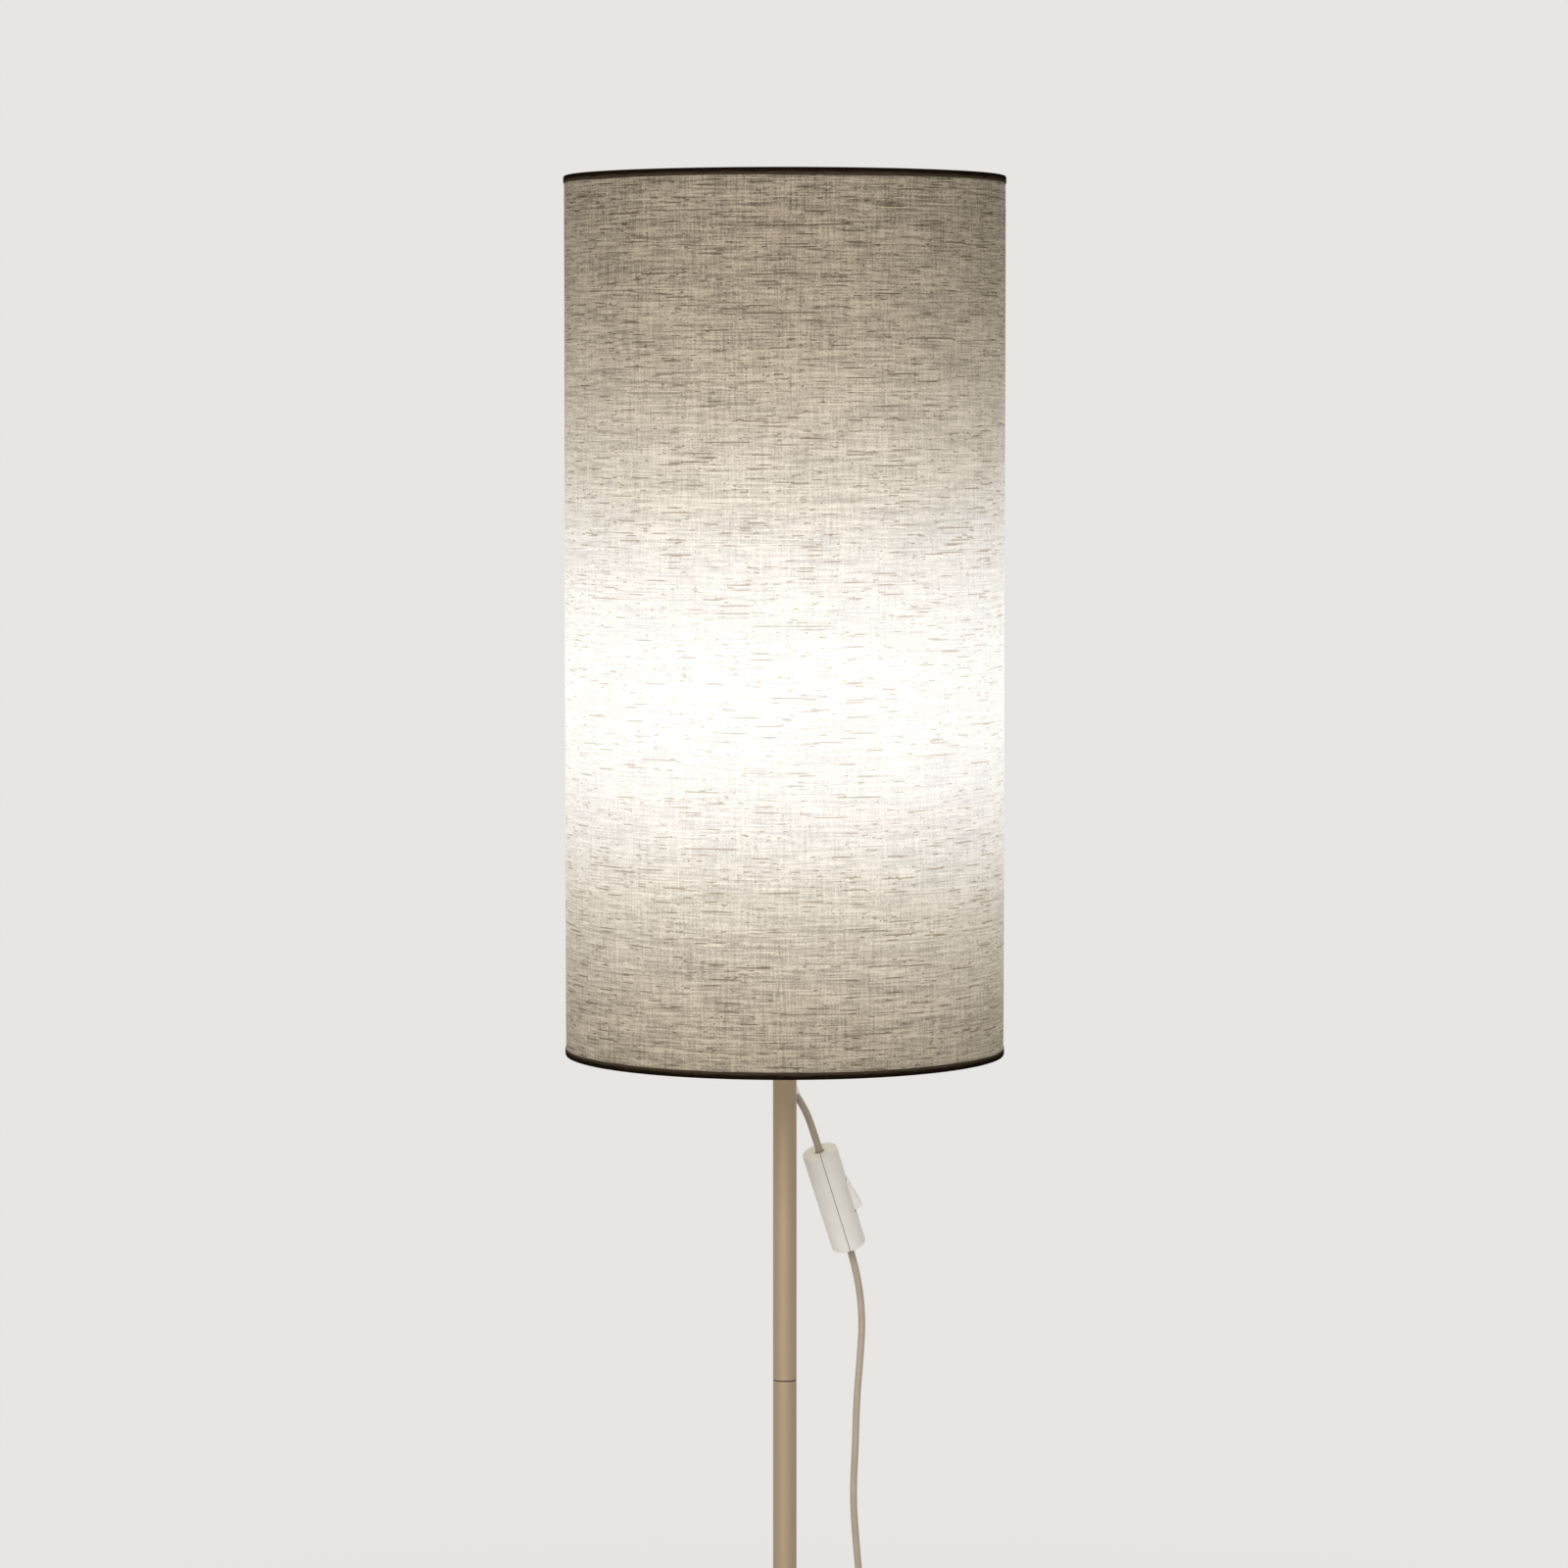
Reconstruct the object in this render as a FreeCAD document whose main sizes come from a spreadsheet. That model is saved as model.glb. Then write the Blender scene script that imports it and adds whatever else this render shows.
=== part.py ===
import FreeCAD, Part
import math
import os
import re

import Sketcher

# Column floor lamp: a tall cylinder shade on a two-piece pole with a round foot and an in-line switch.
# The origin is the centre of the foot's underside, +Z is up, and the millimetre is the unit.

Vector = FreeCAD.Vector
Placement = FreeCAD.Placement
Rotation = FreeCAD.Rotation

SIZES = {
    # foot
    "pad_diameter": 20.0,
    "pad_height": 2.0,
    "pad_circle": 250.0,
    "base_diameter": 290.0,
    "base_thickness": 10.0,
    "base_edge": 2.0,
    "base_hole": 10.5,
    "recess_diameter": 34.0,
    "recess_depth": 6.0,
    "washer_diameter": 30.0,
    "washer_thickness": 1.0,
    "nut_width": 17.0,
    "nut_height": 4.0,
    "stud_past_nut": 0.4,
    # pole
    "pole_diameter": 19.0,
    "pole_wall": 1.5,
    "pole_joint": 636.7,
    "pole_top": 1072.0,
    "tube_chamfer": 0.4,
    "foot_insert_length": 20.0,
    "joint_insert_length": 25.0,
    "joint_stud_length": 40.0,
    "top_insert_length": 20.0,
    "top_flange": 3.0,
    "thread_diameter": 10.0,
    "insert_gap": 0.05,
    "thread_gap": 0.05,
    # lamp holder
    "locknut_width": 14.0,
    "locknut_height": 3.0,
    "nipple_bore": 7.4,
    "nipple_down": 15.0,
    "nipple_up": 3.5,
    "cap_height": 26.0,
    "cap_neck": 23.0,
    "cap_neck_height": 2.0,
    "cap_floor": 4.0,
    "cap_shoulder": 13.0,
    "holder_diameter": 39.9,
    "holder_wall": 2.0,
    "holder_seat": 2.0,
    "skirt_height": 30.0,
    "skirt_lip": 4.0,
    "skirt_mouth": 30.4,
    "insert_floor": 10.0,
    "insert_rise": 24.0,
    "insert_side_gap": 0.5,
    "shell_contact_bore": 26.8,
    "shell_contact_wall": 0.5,
    "shell_contact_height": 20.0,
    "contact_gap": 0.1,
    "terminal_pitch": 20.0,
    "terminal_screw": 3.0,
    "terminal_head": 5.0,
    "terminal_head_height": 3.0,
    "screw_gap": 0.05,
    # bulb
    "bulb_seat": 4.0,
    "bulb_tip_diameter": 10.0,
    "bulb_tip_height": 2.0,
    "bulb_insulator_height": 3.0,
    "bulb_cap_diameter": 26.2,
    "bulb_cap_height": 24.0,
    "bulb_thread_pitch": 3.6,
    "bulb_thread_depth": 0.7,
    "bulb_body_height": 30.0,
    "bulb_wall": 1.5,
    "bulb_plate": 1.5,
    "bulb_glass_diameter": 60.0,
    "bulb_glass_wall": 1.0,
    "bulb_glass_start": 16.0,
    # shade
    "shade_diameter": 350.0,
    "shade_height": 700.0,
    "shade_drop": 213.0,
    "fabric_thickness": 0.6,
    "liner_thickness": 0.4,
    "layer_gap": 0.1,
    "hem_height": 6.0,
    "hem_thickness": 0.6,
    "hem_gap": 0.05,
    "hem_turn_in": 2.8,
    "frame_wire": 4.0,
    "frame_gap": 0.1,
    "arm_wire": 3.5,
    "fitter_rise": 9.0,
    "fitter_thickness": 2.0,
    "fitter_diameter": 60.0,
    "fitter_gap": 0.35,
    "ring_diameter": 54.0,
    "ring_height": 5.0,
    "ring_gap": 0.15,
    "seam_width": 14.0,
    "seam_thickness": 0.4,
    # cord and its bush
    "cord_diameter": 5.8,
    "cord_azimuth": 47.0,
    "outlet_height": 870.0,
    "outlet_tilt": 42.0,
    "bush_diameter": 9.8,
    "bush_bore": 6.1,
    "bush_inside": 7.0,
    "bush_outside": 2.5,
    "bush_rim": 0.6,
    "bush_gap": 0.05,
    "cord_top": 12.0,
    # switch
    "switch_out": 58.9,
    "switch_height": 777.65,
    "switch_tilt": 23.78,
    "switch_length": 87.3,
    "switch_top_diameter": 29.0,
    "switch_bottom_diameter": 28.0,
    "switch_wall": 2.0,
    "switch_end_wall": 2.5,
    "switch_edge": 0.9,
    "switch_seam": 0.1,
    "cord_hole": 7.8,
    "cord_grip": 12.0,
    "slot_length": 30.6,
    "slot_width": 11.6,
    "rocker_top": 17.5,
    "rocker_underside": 9.2,
    "rocker_length": 26.8,
    "rocker_side_gap": 0.3,
    "rocker_edge": 0.8,
    "rocker_pivot": 10.5,
    "rocker_hub": 5.6,
    "rocker_tilt": 11.5,
    "pin_diameter": 2.0,
    "pin_length": 16.0,
    "pin_gap": 0.05,
    "lug_thickness": 3.4,
    "lug_width": 6.0,
    "stem_diameter": 5.5,
    "stem_end": 5.5,
    "plunger_diameter": 2.6,
    "plunger_tip": 3.8,
    "plunger_inside": 8.0,
    "seesaw_pivot": 1.9,
    "seesaw_radius": 0.6,
    "seesaw_gap": 0.1,
    "seesaw_length": 12.0,
    "seesaw_width": 3.5,
    "seesaw_thickness": 0.8,
    "seesaw_tilt": 6.0,
    "deck": 3.0,
    "deck_width": 18.0,
    "deck_start": 12.0,
    "post_place": 28.0,
    "post_diameter": 6.0,
    "housing_screw": 2.9,
    "housing_head": 5.6,
    "housing_head_depth": 2.6,
    "housing_screw_reach": 7.0,
    "block_width": 6.0,
    "block_start": 14.0,
    "block_end": 24.0,
    "block_height": 5.0,
    "strip_thickness": 0.8,
    "strip_width": 4.0,
    "contact_top": 1.7,
    "contact_place": 6.0,
    "switch_screw": 3.0,
    "switch_screw_head": 4.0,
    "switch_screw_head_height": 1.8,
    "clamp_place": 36.0,
    "clamp_width": 4.0,
    "clamp_length": 17.0,
    "clamp_thickness": 1.8,
    "clamp_screw_pitch": 12.0,
    "clamp_gap": 0.1,
    # coil, tie and plug
    "coil_radius": 41.0,
    "coil_inner_turns": 2.5,
    "coil_outer_turns": 2.4,
    "coil_pitch": 6.4,
    "coil_dip": 1.6,
    "coil_start_out": 188.0,
    "floor_gap": 1.0,
    "tie_width": 8.0,
    "tie_thickness": 0.5,
    "tie_gap": 0.4,
    "tie_angle": 200.0,
    "plug_x": 20.0,
    "plug_y": 193.5,
    "plug_height": 7.0,
    "plug_direction": 189.81,
    "boot_length": 25.0,
    "boot_start": 7.6,
    "boot_end": 10.4,
    "plug_length": 36.0,
    "plug_width": 35.3,
    "plug_thickness": 13.7,
    "plug_back": 16.0,
    "plug_taper": 12.0,
    "plug_edge": 2.5,
    "plug_pin": 4.0,
    "plug_pin_length": 19.0,
    "plug_pin_pitch": 18.6,
}

PAD_COUNT = 5
ARM_COUNT = 3
BULB_THREADS = 5
BOOT_RIBS = 4

doc = FreeCAD.newDocument("ColumnFloorLamp")
sheet = doc.addObject("Spreadsheet::Sheet", "Sizes")
for row, (alias, number) in enumerate(SIZES.items(), 1):
    sheet.set(f"A{row}", alias)
    sheet.set(f"B{row}", str(number))
    sheet.setAlias(f"B{row}", alias)
doc.recompute()

nodes = []


def size(alias):
    """The number in a cell of the sheet."""
    return float(sheet.get(alias))


def bind(item, name, text):
    """Bind a property to an expression, in which the sheet's aliases stand as plain words."""
    cells = re.sub(r"[a-z_]+", lambda word: ("Sizes." if word[0] in SIZES else "") + word[0], text)
    item.setExpression(name, cells)


def node(item):
    """Keep an object as one of the lamp's sub-parts."""
    item.Label = item.Name
    nodes.append(item)
    return item


def corner(sketch, i, across, up, spot):
    """Tie the start of a sketch's line to expressions for its two coordinates."""
    for kind, axis, text, guess in (("DistanceX", -2, across, spot.x), ("DistanceY", -1, up, spot.y)):
        if text == "0":
            sketch.addConstraint(Sketcher.Constraint("PointOnObject", i, 1, axis))
        else:
            place = sketch.addConstraint(Sketcher.Constraint(kind, i, 1, guess))
            bind(sketch, f"Constraints[{place}]", text)


def outlined(body, plane_role, profile):
    """A sketch on one of a body's own planes, closed through corners given as expressions."""
    sketch = body.newObject("Sketcher::SketchObject", body.Name + "_outline")
    plane = next(item for item in body.Origin.OriginFeatures if item.Role == plane_role)
    sketch.AttachmentSupport = (plane, [""])
    sketch.MapMode = "FlatFace"
    count = len(profile)
    spots = [
        Vector(30 + 20 * math.cos(2 * math.pi * i / count), 20 * math.sin(2 * math.pi * i / count), 0)
        for i in range(count)
    ]
    for i in range(count):
        sketch.addGeometry(Part.LineSegment(spots[i], spots[(i + 1) % count]), False)
    for i in range(count):
        sketch.addConstraint(Sketcher.Constraint("Coincident", i, 2, (i + 1) % count, 1))
    for i, (across, up) in enumerate(profile):
        corner(sketch, i, across, up, spots[i])
    return sketch


def turned(label, profile, base="0"):
    """A body of revolution about Z. The profile is a closed chain of (radius, height) corners."""
    body = doc.addObject("PartDesign::Body", label)
    sketch = outlined(body, "XZ_Plane", profile)
    turn = body.newObject("PartDesign::Revolution", label + "_turn")
    turn.Profile = sketch
    turn.ReferenceAxis = (sketch, ["V_Axis"])
    turn.Angle = 360
    bind(body, "Placement.Base.z", base)
    return body


def soften(body, alias, chosen):
    """Round the chosen edges of a body by a size of the sheet."""
    doc.recompute()
    last = body.Tip
    edges = [f"Edge{i}" for i, edge in enumerate(last.Shape.Edges, 1) if chosen(edge)]
    fillet = body.newObject("PartDesign::Fillet", body.Name + "_" + alias)
    fillet.Base = (last, edges)
    bind(fillet, "Radius", alias)
    return body


ALONG = {"x": Rotation(Vector(0, 1, 0), 90), "y": Rotation(Vector(1, 0, 0), -90), "z": Rotation()}


def rod(label, radius, low, high, axis="z", across=("0", "0")):
    """A cylinder along an axis from low to high. across holds its place along the other two axes."""
    piece = doc.addObject("Part::Cylinder", label)
    piece.Placement = Placement(Vector(), ALONG[axis])
    bind(piece, "Radius", radius)
    bind(piece, "Height", f"({high}) - ({low})")
    places = dict(zip([name for name in "xyz" if name != axis], across))
    places[axis] = low
    for name, text in places.items():
        bind(piece, "Placement.Base." + name, text)
    return piece


def block(label, across_x, across_y, across_z):
    """A box between a low and a high side along each axis."""
    piece = doc.addObject("Part::Box", label)
    sides = zip(("Length", "Width", "Height"), "xyz", (across_x, across_y, across_z))
    for side, name, (low, high) in sides:
        bind(piece, side, f"({high}) - ({low})")
        bind(piece, "Placement.Base." + name, low)
    return piece


def group(label, kind, pieces):
    """A fusion, common part or loose group of pieces."""
    whole = doc.addObject("Part::" + kind, label)
    if kind == "Compound":
        whole.Links = pieces
    else:
        whole.Shapes = pieces
    return whole


def cut(label, body, *tools):
    """A body with the tools taken away."""
    piece = doc.addObject("Part::Cut", label)
    piece.Base = body
    piece.Tool = tools[0] if len(tools) == 1 else group(label + "_tools", "MultiFuse", list(tools))
    return piece


def hexagon(label, width, height):
    """A six-sided prism of a width across its flats."""
    piece = doc.addObject("Part::Prism", label)
    piece.Polygon = 6
    bind(piece, "Circumradius", f"{width} / 2 / cos(30)")
    bind(piece, "Height", height)
    return piece


def rounded(label, piece, alias, chosen):
    """A piece with its chosen edges rounded by a size of the sheet."""
    doc.recompute()
    fillet = doc.addObject("Part::Fillet", label)
    fillet.Base = piece
    radius = size(alias)
    fillet.Edges = [(i, radius, radius) for i, edge in enumerate(piece.Shape.Edges, 1) if chosen(edge)]
    return fillet


def shaped(label, solid, place=Placement()):
    """A piece whose shape comes from a path, in its own place."""
    piece = doc.addObject("Part::Feature", label)
    piece.Shape = solid
    piece.Placement = place
    return piece


# Heights and radii that several pieces share, as expressions of the sheet's sizes.
BASE_TOP = "(pad_height + base_thickness)"
RECESS_TOP = "(pad_height + recess_depth)"
NUT_FOOT = f"({RECESS_TOP} - washer_thickness - nut_height)"
POLE_BORE = "(pole_diameter / 2 - pole_wall)"
PLUG_IN = f"({POLE_BORE} - insert_gap)"
THREAD = "(thread_diameter / 2)"
TAPPED = "(thread_diameter / 2 + thread_gap)"
HOLDER_FOOT = "(pole_top + top_flange + locknut_height)"
CAP_TOP = f"({HOLDER_FOOT} + cap_height)"
FITTER_FOOT = f"({CAP_TOP} + fitter_rise)"
BULB_FOOT = f"({CAP_TOP} + bulb_seat)"
SHADE_FOOT = f"({FITTER_FOOT} - shade_drop)"
SHADE_TOP = f"({SHADE_FOOT} + shade_height)"

# ---- foot: round pads, a steel disc, and the washer and nut that hold the pole to it ----

pads = []
for i in range(PAD_COUNT):
    angle = 360 * i / PAD_COUNT
    pad = rod(f"pad_{i}", "pad_diameter / 2", "0", "pad_height")
    bind(pad, "Placement.Base.x", f"pad_circle / 2 * cos({angle})")
    bind(pad, "Placement.Base.y", f"pad_circle / 2 * sin({angle})")
    pads.append(pad)
node(group("base_pads", "Compound", pads))

disc = turned("base_disc", [
    ("base_hole / 2", "recess_depth"),
    ("recess_diameter / 2", "recess_depth"),
    ("recess_diameter / 2", "0"),
    ("base_diameter / 2", "0"),
    ("base_diameter / 2", "base_thickness"),
    ("base_hole / 2", "base_thickness"),
], "pad_height")
node(soften(disc, "base_edge", lambda edge: edge.BoundBox.XMax > size("base_diameter") / 2 - 0.1
            and edge.BoundBox.ZLength < 0.1))

node(turned("base_washer", [
    ("base_hole / 2", "0"),
    ("washer_diameter / 2", "0"),
    ("washer_diameter / 2", "washer_thickness"),
    ("base_hole / 2", "washer_thickness"),
], f"{RECESS_TOP} - washer_thickness"))

base_nut = node(cut("base_nut", hexagon("base_nut_blank", "nut_width", "nut_height"),
                    rod("base_nut_bore", TAPPED, "0", "nut_height")))
bind(base_nut, "Placement.Base.z", NUT_FOOT)

STUD_DROP = f"({BASE_TOP} - {NUT_FOOT} + stud_past_nut)"
node(turned("foot_insert", [
    ("0", f"0 - {STUD_DROP}"),
    (THREAD, f"0 - {STUD_DROP}"),
    (THREAD, "0"),
    (PLUG_IN, "0"),
    (PLUG_IN, "foot_insert_length"),
    ("0", "foot_insert_length"),
], BASE_TOP))

# ---- pole: two tubes that screw together on a stud between two inserts ----


def pole_tube(label, length, base, chamfers):
    """A length of pole tube. chamfers says which of its ends, foot and top, has a bevelled edge."""
    foot, top = chamfers
    outline = [(POLE_BORE, "0")]
    if foot:
        outline += [("pole_diameter / 2 - tube_chamfer", "0"), ("pole_diameter / 2", "tube_chamfer")]
    else:
        outline += [("pole_diameter / 2", "0")]
    if top:
        outline += [("pole_diameter / 2", f"{length} - tube_chamfer")]
        outline += [("pole_diameter / 2 - tube_chamfer", length)]
    else:
        outline += [("pole_diameter / 2", length)]
    outline += [(POLE_BORE, length)]
    return turned(label, outline, base)


def joint_insert(label, base):
    """A tapped sleeve inside the end of a tube."""
    return turned(label, [
        (TAPPED, "0"),
        (PLUG_IN, "0"),
        (PLUG_IN, "joint_insert_length"),
        (TAPPED, "joint_insert_length"),
    ], base)


node(pole_tube("lower_tube", f"pole_joint - {BASE_TOP}", BASE_TOP, (False, True)))
node(joint_insert("lower_joint_insert", "pole_joint - joint_insert_length"))
node(rod("joint_stud", THREAD, "pole_joint - joint_stud_length / 2", "pole_joint + joint_stud_length / 2"))
node(joint_insert("upper_joint_insert", "pole_joint"))

tilt = math.radians(size("outlet_tilt"))
azimuth = math.radians(size("cord_azimuth"))
outward = Vector(math.cos(azimuth), math.sin(azimuth), 0)
outlet_way = outward * math.sin(tilt) - Vector(0, 0, 1) * math.cos(tilt)
outlet = outward * size("pole_diameter") / 2 + Vector(0, 0, size("outlet_height"))
OUTLET = Placement(outlet, Rotation(Vector(0, 0, 1), outlet_way))

tube_blank = pole_tube("upper_tube_blank", "pole_top - pole_joint", "pole_joint", (True, False))
outlet_drill = doc.addObject("Part::Cylinder", "outlet_drill")
bind(outlet_drill, "Radius", "bush_diameter / 2 + bush_gap")
bind(outlet_drill, "Height", "2 * pole_diameter")
outlet_drill.Placement = OUTLET.multiply(Placement(Vector(0, 0, -size("bush_inside") - 2), Rotation()))
node(cut("upper_tube", tube_blank, outlet_drill))

node(turned("top_insert", [
    (TAPPED, "0 - top_insert_length"),
    (PLUG_IN, "0 - top_insert_length"),
    (PLUG_IN, "0"),
    ("pole_diameter / 2", "0"),
    ("pole_diameter / 2", "top_flange"),
    (TAPPED, "top_flange"),
], "pole_top"))

# ---- lamp holder, on a hollow nipple through the top insert ----

locknut = node(cut("holder_locknut", hexagon("locknut_blank", "locknut_width", "locknut_height"),
                   rod("locknut_bore", TAPPED, "0", "locknut_height")))
bind(locknut, "Placement.Base.z", "pole_top + top_flange")

NIPPLE_FOOT = f"({HOLDER_FOOT} - nipple_down)"
nipple_bore = rod("nipple_bore", "nipple_bore / 2", NIPPLE_FOOT, f"{HOLDER_FOOT} + nipple_up")
nipple_blank = rod("nipple_blank", THREAD, NIPPLE_FOOT, f"{HOLDER_FOOT} + nipple_up")
node(cut("holder_nipple", nipple_blank, nipple_bore))

HOLDER = "(holder_diameter / 2)"
INSERT = f"({HOLDER} - holder_wall - insert_side_gap)"
node(turned("holder_cap", [
    (TAPPED, "0"),
    ("cap_neck / 2", "0"),
    ("cap_neck / 2", "cap_neck_height"),
    (HOLDER, "cap_shoulder"),
    (HOLDER, "cap_height"),
    (f"{HOLDER} - holder_wall", "cap_height"),
    (f"{HOLDER} - holder_wall", "cap_height - insert_floor"),
    (f"{HOLDER} - holder_wall - holder_seat", "cap_height - insert_floor"),
    (f"{HOLDER} - holder_wall - holder_seat", "cap_shoulder + 0.5"),
    ("cap_neck / 2 - holder_wall", "cap_floor"),
    (TAPPED, "cap_floor"),
], HOLDER_FOOT))

node(turned("holder_skirt", [
    (f"{HOLDER} - holder_wall", "0"),
    (HOLDER, "0"),
    (HOLDER, "skirt_height"),
    ("skirt_mouth / 2", "skirt_height"),
    ("skirt_mouth / 2", "skirt_height - skirt_lip"),
    (f"{HOLDER} - holder_wall", "skirt_height - skirt_lip"),
], CAP_TOP))

SHELL = "(shell_contact_bore / 2)"
insert_blank = turned("holder_insert_blank", [
    ("0", "0"),
    (INSERT, "0"),
    (INSERT, "insert_floor + insert_rise"),
    (f"{SHELL} + shell_contact_wall + insert_gap", "insert_floor + insert_rise"),
    (f"{SHELL} + shell_contact_wall + insert_gap", "insert_floor"),
    ("0", "insert_floor"),
])
screw_holes = [
    rod(f"terminal_hole_{side}", "terminal_screw / 2 + screw_gap", "0", "insert_floor - 2",
        across=(f"{side} * terminal_pitch / 2", "0"))
    for side in ("-1", "1")
]
holder_insert = node(cut("holder_insert", insert_blank, *screw_holes))
bind(holder_insert, "Placement.Base.z", f"{CAP_TOP} - insert_floor")

CONTACT_RISE = "(bulb_seat - contact_gap)"
node(turned("holder_centre_contact", [
    ("0", "0"),
    ("bulb_tip_diameter / 2", "0"),
    ("bulb_tip_diameter / 2", "strip_thickness"),
    ("bulb_tip_diameter / 4", CONTACT_RISE),
    ("0", CONTACT_RISE),
], CAP_TOP))

node(turned("holder_shell_contact", [
    (SHELL, "0"),
    (f"{SHELL} + shell_contact_wall", "0"),
    (f"{SHELL} + shell_contact_wall", "shell_contact_height"),
    (SHELL, "shell_contact_height"),
], f"{BULB_FOOT} - bulb_tip_height / 2"))


def screw(label, shank, head, head_height, reach):
    """A cheese-head screw along +Z with its head's seat at zero, its shank up to reach."""
    head_end = f"0 - {head_height}"
    return group(label, "MultiFuse", [
        rod(label + "_head", f"{head} / 2", head_end, "0"),
        rod(label + "_shank", f"{shank} / 2", "0 - 0.5", reach),
    ])


terminal_screws = []
for side in (-1, 1):
    piece = screw("terminal_screw_" + ("left", "right")[side > 0], "terminal_screw", "terminal_head",
                  "terminal_head_height", "insert_floor - 3")
    bind(piece, "Placement.Base.x", f"{side} * terminal_pitch / 2")
    bind(piece, "Placement.Base.z", f"{CAP_TOP} - insert_floor")
    terminal_screws.append(piece)
node(group("holder_terminal_screws", "Compound", terminal_screws))

# ---- bulb, screwed into the holder ----

BULB_CAP = f"({BULB_FOOT} + bulb_tip_height + bulb_insulator_height)"
node(turned("bulb_tip", [
    ("0", "0"),
    ("bulb_tip_diameter / 2 - 1", "0"),
    ("bulb_tip_diameter / 2", "bulb_tip_height"),
    ("0", "bulb_tip_height"),
], BULB_FOOT))

node(turned("bulb_insulator", [
    ("0", "0"),
    ("bulb_tip_diameter / 2 + 0.5", "0"),
    ("bulb_cap_diameter / 2 - 1.5", "bulb_insulator_height"),
    ("0", "bulb_insulator_height"),
], f"{BULB_FOOT} + bulb_tip_height"))

thread = [("bulb_cap_diameter / 2 - bulb_wall", "0"), ("bulb_cap_diameter / 2 - bulb_thread_depth", "0")]
for i in range(BULB_THREADS):
    thread.append(("bulb_cap_diameter / 2", f"{i + 1} * bulb_thread_pitch"))
    thread.append(("bulb_cap_diameter / 2 - bulb_thread_depth", f"{i + 1.5} * bulb_thread_pitch"))
thread.append(("bulb_cap_diameter / 2 - bulb_thread_depth", "bulb_cap_height"))
thread.append(("bulb_cap_diameter / 2 - bulb_wall", "bulb_cap_height"))
node(turned("bulb_cap", thread, BULB_CAP))

GLASS_FOOT = "(sqrt(pow(bulb_glass_diameter / 2; 2) - pow(bulb_glass_start; 2)))"
BODY_FOOT = f"({BULB_CAP} + bulb_cap_height)"
BODY_TOP = f"({BODY_FOOT} + bulb_body_height)"
node(turned("bulb_body", [
    ("bulb_cap_diameter / 2 - bulb_wall", "0"),
    ("bulb_cap_diameter / 2 + 0.6", "0"),
    (GLASS_FOOT, "bulb_body_height"),
    (f"{GLASS_FOOT} - 2 * bulb_wall", "bulb_body_height"),
    ("bulb_cap_diameter / 2 - bulb_wall", "bulb_wall"),
], BODY_FOOT))

node(turned("bulb_plate", [
    ("0", "0"),
    (f"{GLASS_FOOT} - 2 * bulb_wall", "0"),
    (f"{GLASS_FOOT} - 2 * bulb_wall", "bulb_plate"),
    ("0", "bulb_plate"),
], BODY_TOP))

glass_ball = doc.addObject("Part::Sphere", "bulb_glass_ball")
bind(glass_ball, "Radius", "bulb_glass_diameter / 2")
glass_hollow = doc.addObject("Part::Sphere", "bulb_glass_hollow")
bind(glass_hollow, "Radius", "bulb_glass_diameter / 2 - bulb_glass_wall")
glass_base = rod("bulb_glass_base", "bulb_glass_diameter", "0 - bulb_glass_diameter", "0 - bulb_glass_start")
bulb_glass = node(cut("bulb_glass", glass_ball, glass_hollow, glass_base))
bind(bulb_glass, "Placement.Base.z", f"{BODY_TOP} + bulb_glass_start")

# ---- shade: a wire frame held between two rings on the holder, with liner, linen and hems ----

for label, low in (("shade_ring_lower", f"{FITTER_FOOT} - ring_gap - ring_height"),
                   ("shade_ring_upper", f"{FITTER_FOOT} + fitter_thickness + ring_gap")):
    node(turned(label, [
        (f"{HOLDER} + thread_gap", "0"),
        ("ring_diameter / 2", "0"),
        ("ring_diameter / 2", "ring_height"),
        (f"{HOLDER} + thread_gap", "ring_height"),
    ], low))

fitter = node(turned("shade_fitter_plate", [
    (f"{HOLDER} + fitter_gap", "0"),
    ("fitter_diameter / 2", "0"),
    ("fitter_diameter / 2", "fitter_thickness"),
    (f"{HOLDER} + fitter_gap", "fitter_thickness"),
], FITTER_FOOT))

SHADE_R = "(shade_diameter / 2)"
FABRIC_IN = f"({SHADE_R} - fabric_thickness)"
LINER_IN = f"({FABRIC_IN} - layer_gap - liner_thickness)"
FRAME_R = f"({LINER_IN} - frame_gap - frame_wire / 2)"
HEM_OUT = f"({SHADE_R} + hem_gap + hem_thickness)"
HEM_IN = f"({FRAME_R} - frame_wire / 2 - frame_gap - hem_thickness)"
WEB = "(hem_thickness + hem_gap)"
FRAME_RISE = f"({WEB} + frame_gap + frame_wire / 2 + 0.25)"


def frame_ring(label, height):
    """A ring of frame wire inside the shade's edge."""
    ring = doc.addObject("Part::Torus", label)
    bind(ring, "Radius1", FRAME_R)
    bind(ring, "Radius2", "frame_wire / 2")
    bind(ring, "Placement.Base.z", height)
    return node(ring)


bottom_ring = frame_ring("shade_bottom_ring", f"{SHADE_FOOT} + {FRAME_RISE}")
frame_ring("shade_top_ring", f"{SHADE_TOP} - {FRAME_RISE}")

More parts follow.
